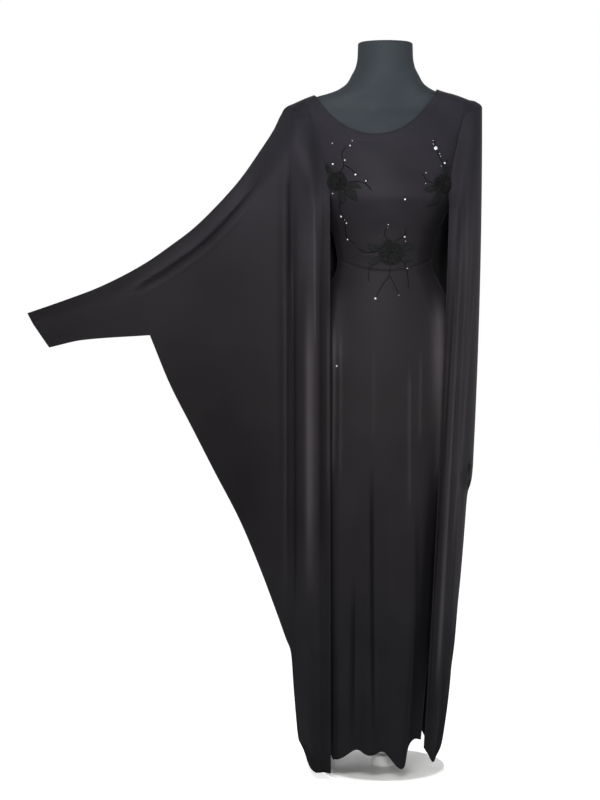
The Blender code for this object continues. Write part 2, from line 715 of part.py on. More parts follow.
def add_flower(name, x, height, radius, petals, turn, finish, collection):
    """A thick cloth flower: its plain inner face follows the cloth, and petals rise from it."""
    angles = np.linspace(0, 2 * np.pi, FLOWER_COLUMNS, endpoint=False)
    wave = 0.5 + 0.5 * np.cos(petals * (angles - np.radians(turn)))
    outline = radius * (1 - PETAL_DENT * (1 - wave))
    inner, outer = [], []
    for ring in range(FLOWER_RINGS + 1):
        share = ring / FLOWER_RINGS
        px = x + share * outline * np.cos(angles)
        pz = height + share * outline * np.sin(angles)
        under = cloth_face(px, pz) + GAP + FLOWER_ROOM
        swell = np.sin(np.pi * min(share + 0.18, 1)) ** 0.7 * (0.45 + 0.55 * wave)
        rise = RIM_RISE + PETAL_RISE * swell
        inner.append(np.stack([px, -under, pz], axis=1))
        outer.append(np.stack([px, -under - rise, pz], axis=1))
    mesh = bpy.data.meshes.new(name)
    shape = bmesh.new()
    layers = []
    for rings in (inner, outer):
        centre = shape.verts.new(rings[0].mean(axis=0))
        layers.append((centre, [[shape.verts.new(p) for p in ring] for ring in rings[1:]]))
    for centre, rings in layers:
        for i in range(FLOWER_COLUMNS):
            k = (i + 1) % FLOWER_COLUMNS
            shape.faces.new((centre, rings[0][i], rings[0][k]))
            for near, far in zip(rings[:-1], rings[1:]):
                shape.faces.new((near[i], far[i], far[k], near[k]))
    low, high = layers[0][1][-1], layers[1][1][-1]
    for i in range(FLOWER_COLUMNS):
        k = (i + 1) % FLOWER_COLUMNS
        shape.faces.new((low[i], low[k], high[k], high[i]))
    bmesh.ops.recalc_face_normals(shape, faces=shape.faces)
    shape.to_mesh(mesh)
    shape.free()
    return add_object(name, mesh, finish, collection)


def main():
    for thing in list(bpy.data.objects):
        bpy.data.objects.remove(thing)
    collection = bpy.data.collections.new("kaftan_on_dress_form")
    bpy.context.scene.collection.children.link(collection)
    jersey = material("black jersey", (0.012, 0.011, 0.013), 0.62)
    flower = material("dark flower cloth", (0.006, 0.006, 0.007), 0.75)
    skin = material("grey-blue form cover", (0.10, 0.13, 0.17), 0.55)
    white_metal = material("white painted metal", (0.80, 0.80, 0.78), 0.35)

    for side, word in ((FRONT, "front"), (BACK, "back")):
        add_cloth(f"bodice_{word}", bodice_grid(side), side == FRONT, jersey, collection)
        add_cloth(f"skirt_{word}", skirt_grid(side), side == FRONT, jersey, collection)
        for hand, wing in WINGS.items():
            flipped = (side == FRONT) == (hand == LEFT)
            name = f"wing_{wing['name']}_{word}"
            add_cloth(name, wing_grid(hand, side), flipped, jersey, collection)
    for row in FLOWERS:
        add_flower(*row, flower, collection)
    add_form_torso(skin, collection)
    add_stand(white_metal, collection)


main()
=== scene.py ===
"""Looks of the kaftan on its dress form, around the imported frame.

Metres, +Z up, front at -Y, +X at the viewer's right. Reach is the distance from the plane x = 0
and depth the distance from the plane y = 0, as in the part's source, whose surfaces are worked
out again here on finer grids, with the creases of soft jersey laid on them.
"""

import bmesh
import bpy
import numpy as np
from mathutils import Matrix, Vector
from mathutils.bvhtree import BVHTree


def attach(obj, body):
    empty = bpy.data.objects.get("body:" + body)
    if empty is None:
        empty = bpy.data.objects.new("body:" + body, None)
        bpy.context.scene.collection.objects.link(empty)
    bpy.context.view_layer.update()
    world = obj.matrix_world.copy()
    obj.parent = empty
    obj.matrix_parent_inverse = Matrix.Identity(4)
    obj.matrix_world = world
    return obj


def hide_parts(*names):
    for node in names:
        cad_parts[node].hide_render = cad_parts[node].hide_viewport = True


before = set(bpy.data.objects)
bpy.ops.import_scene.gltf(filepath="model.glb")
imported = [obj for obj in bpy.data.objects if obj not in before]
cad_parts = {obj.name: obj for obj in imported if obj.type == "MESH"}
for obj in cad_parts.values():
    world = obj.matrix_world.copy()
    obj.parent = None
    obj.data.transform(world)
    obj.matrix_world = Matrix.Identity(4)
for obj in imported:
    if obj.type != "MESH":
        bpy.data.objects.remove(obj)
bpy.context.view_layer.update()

FRONT, BACK = -1, 1
LEFT, RIGHT = -1, 1
WALL = 0.0010  # of the thin cloth
INSET = 0.0005  # between the solid's inner face and the thin cloth's

# The form, bottom to top
HEIGHT, HALF, DEEP_FRONT, DEEP_BACK = range(4)
FORM = [
    # height, half width, depth in front, depth behind
    (0.7200, 0.138, 0.096, 0.108),
    (0.7900, 0.150, 0.102, 0.120),
    (0.8650, 0.156, 0.105, 0.126),
    (0.9450, 0.142, 0.099, 0.110),
    (1.0050, 0.114, 0.088, 0.086),
    (1.0600, 0.094, 0.078, 0.072),
    (1.1130, 0.102, 0.084, 0.074),
    (1.1630, 0.124, 0.098, 0.082),
    (1.2080, 0.142, 0.106, 0.092),
    (1.2630, 0.150, 0.100, 0.100),
    (1.3130, 0.158, 0.084, 0.103),
    (1.3460, 0.175, 0.068, 0.088),
    (1.3660, 0.191, 0.057, 0.072),
    (1.3740, 0.194, 0.052, 0.064),
    (1.3840, 0.185, 0.049, 0.058),
    (1.3955, 0.165, 0.050, 0.056),
    (1.4060, 0.137, 0.052, 0.057),
    (1.4110, 0.118, 0.053, 0.057),
    (1.4200, 0.095, 0.054, 0.057),
    (1.4330, 0.078, 0.055, 0.057),
    (1.4490, 0.069, 0.055, 0.056),
    (1.4650, 0.061, 0.055, 0.056),
    (1.4850, 0.057, 0.055, 0.055),
    (1.5110, 0.056, 0.055, 0.055),
    (1.5142, 0.0548, 0.0538, 0.0538),
    (1.5150, 0.052, 0.051, 0.051),
]
LIFT, SHOULDER_TIP = 0.0030, 1.3740
BUST_RISE, BUST_REACH, BUST_HEIGHT, BUST_WIDTH = 0.011, 0.068, 1.205, 0.046
FORM_STEPS, TORSO_ROWS, NECK_ROWS, NECK_FOOT, TURNED_STEPS = 160, 110, 80, 1.36, 128
RIDGE_POINTS = 400
TOUCHING, SLIVER = 1e-6, 1e-7  # points closer than this are merged, thinner faces are taken out
EASE = [
    # height, room between the form and the cloth
    (1.04, 0.0030),
    (1.12, 0.0032),
    (1.18, 0.0042),
    (1.22, 0.0026),
    (1.30, 0.0022),
    (1.36, 0.0040),
    (1.41, 0.0040),
    (1.45, 0.0018),
]
# Painted light on the front bodice: lighter above the bust line, painted shade below it, where the
# cloth turns away from the light above
BUST_LINE, BUST_BLUR, BUST_PAINTED_LIGHT, BUST_PAINTED_SHADE = 1.186, 0.016, 0.26, 0.45  # foot of the lit chest
ARMHOLE, CORNER_CUT = 1.158, 0.012
SHOULDER_TURN, TURN_RUN = 0.4, 0.08
WAIST_LOW, WAIST_RISE, WAIST_HALF = 1.0505, 0.0225, 0.097
NECK_MIDDLE, NECK_HALF, NECK_POWER = -0.023, 0.1275, 2.3
NECK_LOW = {FRONT: 1.3248, BACK: 1.3930}
NECK_ENDS = {FRONT: (1.4160, 1.4160), BACK: (1.4090, 1.4160)}  # at the left end, at the right
NECK_POINTS, NECK_START, NECK_ROUNDS = 60, 1.36, 40
BODICE_GRID = {FRONT: (120, 110), BACK: (90, 90)}  # columns and rows
HELD_DEPTH = 0.03  # the bodice lies closer to the form where it is less deep than this
DRAGS = [
    # rise, waves sideways, waves upwards, length of a wave
    (0.0008, 0.75, 1.0, 0.052),  # slanting from the bust and the armholes to the waist
    (0.0007, 0.10, 1.0, 0.021),  # level, just above the waist seam
    (0.0006, 0.80, 0.9, 0.085),  # over the chest
]
DRAG_FOOT, DRAG_START, DRAG_TOP, DRAG_PHASE = 1.055, 1.05, 1.19, 0.6
LEVEL_HEIGHT, LEVEL_WIDTH, FOOT_FADE, DRAG_FADE = 1.078, 0.018, 0.02, 0.05

SKIRT = [
    # height, middle, half width, depth in front, depth behind
    (0.020, -0.028, 0.092, 0.122, 0.130),
    (0.200, -0.023, 0.102, 0.120, 0.130),
    (0.400, -0.017, 0.120, 0.118, 0.131),
    (0.600, -0.010, 0.142, 0.115, 0.132),
    (0.750, -0.004, 0.156, 0.114, 0.133),
    (0.865, 0.000, 0.161, 0.113, 0.133),
    (0.945, 0.000, 0.148, 0.106, 0.118),
    (1.005, 0.000, 0.121, 0.094, 0.094),
    (1.060, 0.000, 0.097, 0.081, 0.075),
]
SKIRT_GRID = {FRONT: (230, 150), BACK: (170, 120)}  # columns and rows
SIDE_FADE = 0.5  # power with which the creases fade towards the side seams
SKIRT_JOIN, SKIRT_HEM, FOLD_RUN, DROP_WIDTH = 0.05, 0.076, 0.52, 1.2
HEM_DROPS = [
    # degrees round, width, drop of the thin cloth's hem
    (147, 12, 0.034),
]
SKIRT_FOLDS = [
    # degrees round from the right side seam, width, rise, top of the fold, drop of the hem
    (0, 12, 0.011, 0.80, 0.012),
    (57, 12, 0.016, 0.90, 0.046),
    (93, 10, 0.013, 0.66, 0.013),
    (128, 11, 0.016, 0.86, 0.025),
    (180, 12, 0.011, 0.80, 0.014),
    (214, 11, 0.014, 0.82, 0.030),
    (249, 12, 0.016, 0.86, 0.018),
    (285, 11, 0.014, 0.70, 0.036),
    (322, 12, 0.015, 0.88, 0.022),
]

HANG = {
    # height, depth at the inner edge, depth at the shoulder's end
    FRONT: [
        (0.02, 0.108, 0.060),
        (0.48, 0.106, 0.058),
        (0.86, 0.100, 0.056),
        (0.98, 0.094, 0.055),
        (1.22, 0.085, 0.052),
        (1.42, 0.060, 0.046),
    ],
    BACK: [
        (0.02, 0.114, 0.062),
        (0.48, 0.113, 0.062),
        (0.86, 0.112, 0.062),
        (0.98, 0.104, 0.062),
        (1.22, 0.092, 0.062),
        (1.42, 0.066, 0.052),
    ],
}
SHOULDER_END, WRIST_DEPTH, WRIST_REACH, THINNING = 0.200, 0.020, 0.7400, 0.7
LEAVE, SOFTEN, FULL_HEIGHT, OVERLAY = 0.060, 0.004, 0.85, 0.0044
ROW_POWER, SEAM_POWER, SEAM_TOP, EDGE_START = 2.0, 1.6, 0.165, 0.188
LEFT_TOP = [
    # reach, height of the closed top edge, shoulder to wrist
    (0.2045, 1.3830),
    (0.2285, 1.3373),
    (0.2553, 1.2964),
    (0.2987, 1.2350),
    (0.3505, 1.1775),
    (0.3981, 1.1323),
    (0.4438, 1.0983),
    (0.4850, 1.0695),
    (0.5372, 1.0395),
    (0.5975, 1.0110),
    (0.6619, 0.9870),
    (0.7400, 0.9600),
]
LEFT_SECTIONS = [
    # one list for each stretch; a row is reach at the top edge, then reach and height below
    [  # sleeve, wrist to underarm
        (0.7400, 0.6955, 0.8895),
        (0.6619, 0.6274, 0.9049),
        (0.5975, 0.5692, 0.9101),
        (0.5372, 0.5173, 0.9132),
        (0.4850, 0.4862, 0.9152),
    ],
    [  # side edge, underarm to below the shoulder's corner
        (0.4850, 0.4862, 0.9152),
        (0.4438, 0.4452, 0.8134),
        (0.3981, 0.3999, 0.7236),
        (0.3505, 0.3523, 0.6294),
        (0.2987, 0.3004, 0.5285),
        (0.2553, 0.2567, 0.4230),
        (0.2285, 0.2253, 0.3383),
        (0.2045, 0.2035, 0.2770),
    ],
    [  # side edge to the hem's corner
        (0.2045, 0.2035, 0.2770),
        (0.1935, 0.1935, 0.2491),
        (0.1850, 0.1865, 0.1574),
        (0.1720, 0.1765, 0.0600),
        (0.1650, 0.1668, 0.0480),
    ],
    [  # hem
        (0.1650, 0.1668, 0.0480),
        (0.1524, 0.1524, 0.0250),
        (0.1397, 0.1397, 0.0180),
        (0.1270, 0.1270, 0.0180),
        (0.1145, 0.1115, 0.0190),
    ],
]
RIGHT_TOP = [
    (0.1935, 1.3895),
    (0.1973, 1.3855),
    (0.1990, 1.3815),
]
TOP_START, TOP_POINTS, POINTS_PER_ROW, EDGE_SLACK = 0.09, 48, 6, 0.00004
THIN_DEPTH = 0.004  # the inset fades where a wing is less deep than this
HEAD_WIDTH = 0.012  # of the low bulge at the head of each sleeve
RIGHT_SECTIONS = [
    [  # mouth of the hanging sleeve
        (0.1985, 0.1845, 0.6450),
        (0.1962, 0.1822, 0.6260),
        (0.1930, 0.1790, 0.6090),
        (0.1880, 0.1736, 0.5916),
        (0.1840, 0.1716, 0.5706),
    ],
    [  # side edge to the hem's corner
        (0.1840, 0.1716, 0.5706),
        (0.1800, 0.1659, 0.4864),
        (0.1765, 0.1601, 0.4124),
        (0.1725, 0.1542, 0.3489),
        (0.1690, 0.1484, 0.2746),
        (0.1650, 0.1402, 0.2100),
    ],
    [  # side edge and hem, under the seam with the bodice
        (0.1650, 0.1402, 0.2100),
        (0.1556, 0.1290, 0.1280),
        (0.1462, 0.1159, 0.0612),
        (0.1368, 0.0990, 0.0396),
        (0.1320, 0.0890, 0.0540),
        (0.1274, 0.0785, 0.0737),
    ],
]
LEFT_FOLDS = [
    # reach at the shoulder, reach at the hem, width, rise (below 0: a groove), top of the fold
    (0.208, 0.204, 0.009, 0.006, 1.34),
    (0.191, 0.186, 0.009, -0.009, 1.32),
    (0.152, 0.150, 0.015, 0.010, 1.36),
    (0.127, 0.125, 0.007, -0.006, 1.22),
]
RIGHT_FOLDS = [
    (0.143, 0.088, 0.006, -0.006, 1.20),
    (0.155, 0.099, 0.008, 0.009, 1.34),
    (0.167, 0.110, 0.007, -0.009, 1.32),
    (0.179, 0.124, 0.007, 0.006, 1.30),
]
BACK_FOLDS = [
    (0.186, 0.176, 0.012, -0.008, 1.28),
    (0.160, 0.145, 0.014, 0.010, 1.32),
]
NIP_HEIGHT, NIP_WIDTH = 1.060, 0.085
FOLD_GROW, FOLD_TOP, FOLD_FOOT = 0.30, 1.35, 0.05
CREASE_OFF, CREASE_WIDTH, CREASE_RISE, CREASE_FADE = 0.034, 0.012, -0.006, 5
CREASE_FROM, CREASE_TO = 0.25, 0.56

# The sharp crease under the raised arm: reaches, and its distances below the top edge there
SLEEVE_REACH, SLEEVE_OFF = (0.24, 0.30, 0.40, 0.52), (0.030, 0.034, 0.037, 0.034)
SLEEVE_FROM, SLEEVE_TO, SLEEVE_FADE = 0.245, 0.53, 0.06
SLEEVE_RISES = [
    # distance below the crease's line, width above it, width below it, rise
    (-0.014, 0.010, 0.010, 0.0030),
    (0, 0.0028, 0.0045, -0.0050),
    (0.015, 0.008, 0.008, 0.0030),
]
SLEEVE_PAINTED_LIGHT = [
    # the same, with the painted light along the roll (below 0: painted shade in the crease)
    (-0.016, 0.012, 0.012, 0.40),
    (0, 0.0035, 0.0035, -0.55),
    (0.012, 0.006, 0.006, 0.25),
]
# Columns are counted for each stretch of sections. A wing is closed from a reach outwards, and
# comes down to its closed edges over top_ease and side_ease, the rounder the lower its roundness.
# The mouth gives its reach and height, how far it is opened, and over what width. Head is the rise
# of the sleeve's head, bow how far the sections bow outwards, nip how far they go in at the waist.
WINGS = {
    LEFT: {
        "name": "left",
        "top": LEFT_TOP,
        "sections": LEFT_SECTIONS,
        "columns": {FRONT: (52, 66, 26, 66), BACK: (36, 46, 18, 40)},
        "rows": {FRONT: 210, BACK: 150},
        "seam_low": (0.1145, 1.2252),
        "folds": LEFT_FOLDS,
        "closed_from": 0.172,
        "mouth": (0.7180, 0.9250, 0.0, 0.030),
        "top_ease": 0.055,
        "side_ease": (0.045, 0.085),
        "roundness": 1.0,
        "head": 0.0026,
        "bow": 0.0,
        "nip": {FRONT: 0.0, BACK: 0.026},
        "crease": True,
    },
    RIGHT: {
        "name": "right",
        "top": RIGHT_TOP,
        "sections": RIGHT_SECTIONS,
        "columns": {FRONT: (30, 30, 78), BACK: (24, 24, 50)},
        "rows": {FRONT: 190, BACK: 140},
        "seam_low": (0.1274, 1.2235),
        "folds": RIGHT_FOLDS,
        "closed_from": 0.112,
        "mouth": (0.1790, 0.6090, 0.014, 0.024),
        "top_ease": 0.050,
        "side_ease": (0.040, 0.0),
        "roundness": 0.5,
        "head": 0.0050,
        "bow": 0.0050,
        "nip": {FRONT: 0.0, BACK: 0.034},
        "crease": False,
    },
}

# Creases of the thin cloth, laid over the folds of the solids, with painted highlights and painted
# shade along them
CREASES = {
    # across above, height above, across below, height below, width towards the middle,
    #     # width away from it, rise, painted light (below 0: painted shade), length of the fade at
    #     each end
    ("wing_left", FRONT): [
        (0.196, 1.29, 0.194, 1.00, 0.0025, 0.0045, -0.0034, -0.45, 0.08),
        (0.204, 1.06, 0.205, 0.35, 0.0040, 0.0050, 0.0024, 0.25, 0.14),
        (0.187, 1.10, 0.184, 0.30, 0.0030, 0.0040, -0.0030, -0.45, 0.20),
        (0.196, 0.98, 0.194, 0.40, 0.0016, 0.0016, 0.0006, 0.28, 0.14),
        (0.158, 1.10, 0.156, 0.32, 0.0110, 0.0080, 0.0020, 1.15, 0.26),
        (0.330, 1.22, 0.289, 0.40, 0.1000, 0.1200, 0.0000, -0.36, 0.20),
        (0.700, 1.02, 0.700, 0.86, 0.0700, 0.0700, 0.0000, -0.23, 0.04),
        (0.160, 1.42, 0.158, 1.02, 0.0160, 0.0160, 0.0000, 0.18, 0.08),
        (0.146, 1.24, 0.144, 0.86, 0.0018, 0.0030, 0.0022, 0.50, 0.10),
        (0.131, 1.22, 0.128, 0.42, 0.0035, 0.0070, -0.0030, -0.25, 0.16),
        (0.165, 1.24, 0.163, 0.95, 0.0200, 0.0160, 0.0000, 0.26, 0.16),
        (0.148, 1.39, 0.150, 1.17, 0.0160, 0.0140, 0.0000, -0.34, 0.05),
        (0.118, 1.00, 0.117, 0.56, 0.0022, 0.0030, 0.0006, 0.55, 0.10),
    ],
    ("wing_left", BACK): [
        (0.205, 1.30, 0.210, 0.40, 0.0050, 0.0060, 0.0030, 0.25, 0.16),
        (0.178, 1.25, 0.172, 0.20, 0.0030, 0.0060, -0.0034, -0.40, 0.16),
        (0.157, 1.10, 0.150, 0.30, 0.0100, 0.0080, 0.0016, 0.60, 0.26),
        (0.136, 1.20, 0.130, 0.20, 0.0040, 0.0060, -0.0030, -0.30, 0.16),
        (0.250, 1.18, 0.238, 0.55, 0.0090, 0.0130, -0.0026, -0.15, 0.20),
    ],
    ("wing_right", FRONT): [
        (0.158, 1.20, 0.104, 0.16, 0.0034, 0.0050, 0.0016, 0.90, 0.14),
        (0.170, 1.34, 0.116, 0.10, 0.0300, 0.0300, 0.0000, 0.24, 0.20),
        (0.185, 1.36, 0.150, 0.75, 0.0300, 0.0300, 0.0000, -0.13, 0.20),
        (0.150, 1.22, 0.098, 0.36, 0.0022, 0.0030, -0.0018, -0.40, 0.10),
        (0.172, 1.22, 0.118, 0.24, 0.0070, 0.0100, 0.0008, 0.30, 0.16),
        (0.184, 1.08, 0.134, 0.44, 0.0026, 0.0040, 0.0012, 0.35, 0.12),
    ],
    ("wing_right", BACK): [
        (0.150, 1.24, 0.112, 0.20, 0.0040, 0.0050, -0.0030, -0.35, 0.14),
        (0.163, 1.20, 0.122, 0.30, 0.0030, 0.0030, 0.0014, 0.45, 0.14),
        (0.176, 1.20, 0.132, 0.30, 0.0030, 0.0040, -0.0024, -0.30, 0.14),
    ],
    ("skirt", FRONT): [
        (-0.106, 0.97, -0.104, 0.60, 0.0030, 0.0040, 0.0020, 0.70, 0.08),
        (-0.093, 0.94, -0.090, 0.60, 0.0026, 0.0030, 0.0012, 0.40, 0.06),
        (-0.030, 0.70, -0.024, 0.06, 0.0026, 0.0050, -0.0058, -0.60, 0.20),
        (-0.064, 0.46, -0.066, 0.06, 0.0026, 0.0040, -0.0050, -0.50, 0.16),
        (-0.026, 0.92, -0.026, 0.68, 0.0050, 0.0040, 0.0010, 0.22, 0.08),
        (0.048, 0.88, 0.046, 0.54, 0.0040, 0.0022, 0.0026, 0.50, 0.08),
        (0.070, 0.90, 0.066, 0.68, 0.0026, 0.0030, 0.0016, 0.40, 0.06),
        (0.058, 0.60, 0.052, 0.16, 0.0040, 0.0060, -0.0030, -0.35, 0.14),
        (0.012, 0.66, 0.016, 0.30, 0.0100, 0.0100, 0.0010, 0.05, 0.16),
        (0.106, 1.04, 0.112, 0.56, 0.0150, 0.0200, 0.0000, 1.30, 0.10),
        (-0.098, 1.04, -0.100, 0.82, 0.0160, 0.0120, 0.0000, 0.35, 0.08),
    ],
    ("skirt", BACK): [
        (-0.070, 0.84, -0.060, 0.08, 0.0040, 0.0060, -0.0050, -0.45, 0.20),
        (-0.020, 0.66, -0.012, 0.07, 0.0030, 0.0060, -0.0050, -0.45, 0.20),
        (0.030, 0.80, 0.024, 0.08, 0.0050, 0.0030, -0.0050, -0.45, 0.20),
        (0.078, 0.76, 0.060, 0.10, 0.0040, 0.0060, -0.0044, -0.40, 0.20),
        (0.052, 0.90, 0.050, 0.50, 0.0050, 0.0040, 0.0016, 0.40, 0.12),
        (-0.046, 0.88, -0.042, 0.52, 0.0040, 0.0050, 0.0014, 0.40, 0.12),
    ],
}
# Column 7 of a crease is painted light on the jersey's colour: painted highlights on lit ridges,
# painted shade in troughs and hollows
RISE, PAINTED_LIGHT, FADE = 6, 7, 8  # columns of a crease

# Decorations on the front
FLOWERS = [
    # name, across, height, radius, petals of the outer ring, degrees it is turned
    ("flower_left", -0.0985, 1.2290, 0.0200, 6, 10),
    ("flower_right", 0.1130, 1.2235, 0.0205, 6, 35),
    ("flower_waist", 0.0085, 1.0850, 0.0260, 7, 0),
]
RINGS = [
    # share of the radius, petals fewer than the outer ring, turn, height at the root, at the rim
    (1.00, 0, 0, 0.0004, 0.0020),
    (0.74, 1, 28, 0.0016, 0.0038),
    (0.46, 2, 55, 0.0028, 0.0062),
]
LEAVES = [
    # across and height of the root, of the tip, half width
    (-0.085, 1.212, -0.060, 1.190, 0.0085),
    (-0.094, 1.208, -0.088, 1.184, 0.0070),
    (-0.083, 1.222, -0.052, 1.214, 0.0060),
    (-0.108, 1.246, -0.120, 1.264, 0.0050),
    (0.106, 1.208, 0.090, 1.186, 0.0070),
    (0.098, 1.220, 0.072, 1.212, 0.0060),
    (0.118, 1.242, 0.124, 1.262, 0.0055),
    (-0.012, 1.094, -0.038, 1.104, 0.0070),
    (-0.014, 1.076, -0.036, 1.064, 0.0060),
    (0.030, 1.092, 0.056, 1.098, 0.0070),
    (0.028, 1.074, 0.052, 1.068, 0.0065),
]
STEMS = [
    # points of a thin embroidered line, across and height
    [(-0.094, 1.247), (-0.086, 1.262), (-0.090, 1.283), (-0.082, 1.298)],
    [(-0.086, 1.262), (-0.071, 1.252), (-0.058, 1.238)],
    [(-0.078, 1.226), (-0.058, 1.228), (-0.040, 1.220), (-0.030, 1.208)],
    [(-0.044, 1.222), (-0.038, 1.232)],
    [(-0.092, 1.209), (-0.094, 1.180), (-0.084, 1.150), (-0.079, 1.118), (-0.062, 1.104)],
    [(0.116, 1.243), (0.114, 1.262), (0.104, 1.282), (0.098, 1.303), (0.094, 1.316)],
    [(0.114, 1.262), (0.124, 1.274)],
    [(0.094, 1.224), (0.078, 1.232), (0.070, 1.246)],
    [(0.108, 1.203), (0.100, 1.184), (0.078, 1.180)],
    [(0.002, 1.111), (-0.004, 1.126), (0.003, 1.142)],
    [(0.018, 1.110), (0.034, 1.118), (0.040, 1.134)],
    [(-0.017, 1.088), (-0.040, 1.086), (-0.058, 1.096)],
    [(-0.020, 1.068), (-0.034, 1.052), (-0.036, 1.024)],
    [(0.008, 1.058), (0.006, 1.040), (-0.008, 1.020), (-0.021, 0.996)],
    [(0.006, 1.040), (0.015, 1.022), (0.024, 1.002)],
    [(0.034, 1.070), (0.042, 1.046), (0.045, 1.012)],
]
BEADS = [
    # across, height, radius
    (-0.1088, 1.3060, 0.0015),
    (-0.0735, 1.3005, 0.0017),
    (-0.0690, 1.3100, 0.0011),
    (-0.0840, 1.2712, 0.0018),
    (-0.1078, 1.2635, 0.0022),
    (-0.0632, 1.2414, 0.0021),
    (-0.0425, 1.2285, 0.0016),
    (-0.0980, 1.2300, 0.0017),
    (-0.0935, 1.2265, 0.0012),
    (-0.1080, 1.2050, 0.0012),
    (0.0980, 1.2955, 0.0042),
    (0.0940, 1.3040, 0.0013),
    (0.0935, 1.3110, 0.0011),
    (0.1065, 1.2850, 0.0012),
    (0.1085, 1.2795, 0.0010),
    (0.1165, 1.2665, 0.0023),
    (0.1100, 1.2600, 0.0012),
    (0.0780, 1.2455, 0.0013),
    (0.1030, 1.2160, 0.0021),
    (0.1035, 1.2090, 0.0011),
    (0.0350, 1.1925, 0.0020),
    (-0.0905, 1.1595, 0.0020),
    (-0.0800, 1.1460, 0.0016),
    (-0.0840, 1.1520, 0.0009),
    (-0.0770, 1.1130, 0.0019),
    (0.0030, 1.1425, 0.0013),
    (0.0010, 1.1370, 0.0010),
    (0.0360, 1.1180, 0.0020),
    (0.0385, 1.1090, 0.0011),
    (0.0045, 1.0890, 0.0014),
    (0.0125, 1.0880, 0.0014),
    (0.0090, 1.0830, 0.0010),
    (0.0480, 1.0560, 0.0012),
    (-0.0225, 0.9925, 0.0021),
    (0.0245, 0.9990, 0.0010),
    (-0.0995, 0.8560, 0.0019),
]
DARK_BEADS = [
    (-0.0140, 1.1215, 0.0022),
    (0.0765, 1.2245, 0.0024),
    (-0.0300, 1.2080, 0.0015),
    (0.0720, 1.2430, 0.0014),
    (-0.0360, 1.0250, 0.0016),
    (0.0450, 1.0115, 0.0014),
]
BEAD_KINDS = [
    # name, beads, their glass, its colour, how much of a mirror it is
    ("cut_beads", BEADS, "cut glass", (0.72, 0.72, 0.76), 0.4),
    ("dark_beads", DARK_BEADS, "jet glass", (0.01, 0.01, 0.012), 0),
]
BEAD_PROFILE = [(0, -0.10), (0.92, -0.10), (1.0, 0.25), (0.80, 0.70), (0.42, 0.92), (0, 1.0)]
BEAD_ROOM, BEAD_FOOT = 0.0003, 0.12
PETAL_CLOTH, PETAL_ROOM, PETAL_LIFT = 0.0004, 0.0006, 0.0003
PETAL_CUP, PETAL_BEND, PETAL_RIPPLE = 0.0011, 0.0012, 0.0003
PETAL_ROOT, PETAL_OVERLAP, UNEVEN_TURN, UNEVEN_REACH = 0.12, 1.12, 0.10, 0.03
PETAL_ENDS, PETAL_ROWS, PETAL_COLUMNS, RIPPLES = (0.04, 0.97), 8, 7, 2.5
LEAF_ROOM, LEAF_FOLD, LEAF_TIP, LEAF_EDGE, LEAF_BEND = 0.0004, 0.0007, 0.0002, 0.0002, 0.12
LEAF_ENDS, LEAF_ROWS = (0.02, 0.99), 10
STEM_RADIUS, STEM_ROOM, STEM_TIP, STEM_STEPS, SIDES = 0.0007, 0.0003, 0.02, 8, 8
SEAM_DEPTH = 0.09  # depth from which the nearest cloth is looked for in the gap of a seam

# The stand: radius and height of the turned base, then of the pole
BASE_PROFILE = [
    (0, 0.0340),
    (0.0168, 0.0340),
    (0.0192, 0.0335),
    (0.0210, 0.0322),
    (0.0226, 0.0300),
    (0.0240, 0.0200),
    (0.0240, 0.0150),
    (0.0246, 0.0118),
    (0.0262, 0.0103),
    (0.0290, 0.0100),
    (0.1270, 0.0100),
    (0.1288, 0.0093),
    (0.1297, 0.0082),
    (0.1300, 0.0070),
    (0.1300, 0.0020),
    (0.1294, 0.0006),
    (0.1280, 0),
    (0, 0),
]
POLE_PROFILE = [
    (0, 0.7197),
    (0.0115, 0.7197),
    (0.0122, 0.7193),
    (0.0125, 0.7185),
    (0.0125, 0.0355),
    (0.0122, 0.0346),
    (0.0115, 0.0343),
    (0, 0.0343),
]

# Finishes
FINISHES = [
    # name, two tones, scale of the clouds, roughness, scale and height of the bump, gloss
    ("grey-blue form cover", (0.020, 0.025, 0.0295), (0.028, 0.0325, 0.0375), 14, 0.70,
     900, 0.0002, 0.08),
    ("white painted metal", (0.74, 0.74, 0.73), (0.80, 0.80, 0.79), 30, 0.35, 500, 0.0001, 0.5),
    ("dull black flower cloth", (0.0050, 0.0052, 0.0054), (0.0092, 0.0094, 0.0098), 160, 0.85,
     2200, 0.0003, 0.05),
    ("thin black leaf cloth", (0.0048, 0.0052, 0.0052), (0.0084, 0.0088, 0.0088), 120, 0.75,
     2200, 0.0003, 0.08),
    ("black embroidery thread", (0.0016, 0.0018, 0.0018), (0.0034, 0.0036, 0.0036), 400, 0.80,
     3000, 0.0002, 0.05),
]
KNIT = [("X", 260.0, 0.6), ("Y", 210.0, 0.9)]  # wales and courses: way, scale, distortion
HEM_TURN = (0.0135, 0.0155)  # distance from the edge at which the turned hem ends
# Painted light: the jersey's colour is scaled by this number to the power of the painted value,
# lighter above 0 as a painted highlight and darker below 0 as painted shade
PAINTED_LIGHT_BASE = 3.0  # how many times lighter the jersey is where its sheen is 1
WALE_SHARE = 0.6  # height of the wales, where the courses have 1
JERSEY = [(0.32, 0.0140, 0.0125, 0.0143), (0.68, 0.0172, 0.0155, 0.0179)]  # dark and light patches
GLOSS = (0.30, 0.95, 0, 0.11)  # from none below the first height to the most above the second
ROUGHNESS = (0, 1, 0.54, 0.62)  # of the jersey, from 0 to 1 of its clouds
CLOUD_ENDS = (0.30, 0.70)  # where a noisy finish has its two tones
GLASS_DARK, GLASS_SPOTS, GLASS_ROUGHNESS = 0.7, 60.0, 0.16
HEIGHT_SHOWN = 1.5
PAINTED_HEIGHT_TONES = [
    # height, then red, green, blue of the jersey there: painted light, darker and warmer low down
    # as painted shade, and bluer on the chest as painted cool light
    (0.05, 0.600, 0.672, 0.640),
    (0.25, 0.642, 0.700, 0.672),
    (0.50, 0.694, 0.694, 0.680),
    (0.78, 0.753, 0.748, 0.708),
    (1.15, 0.831, 0.840, 0.865),
    (1.33, 0.831, 0.875, 0.960),
]

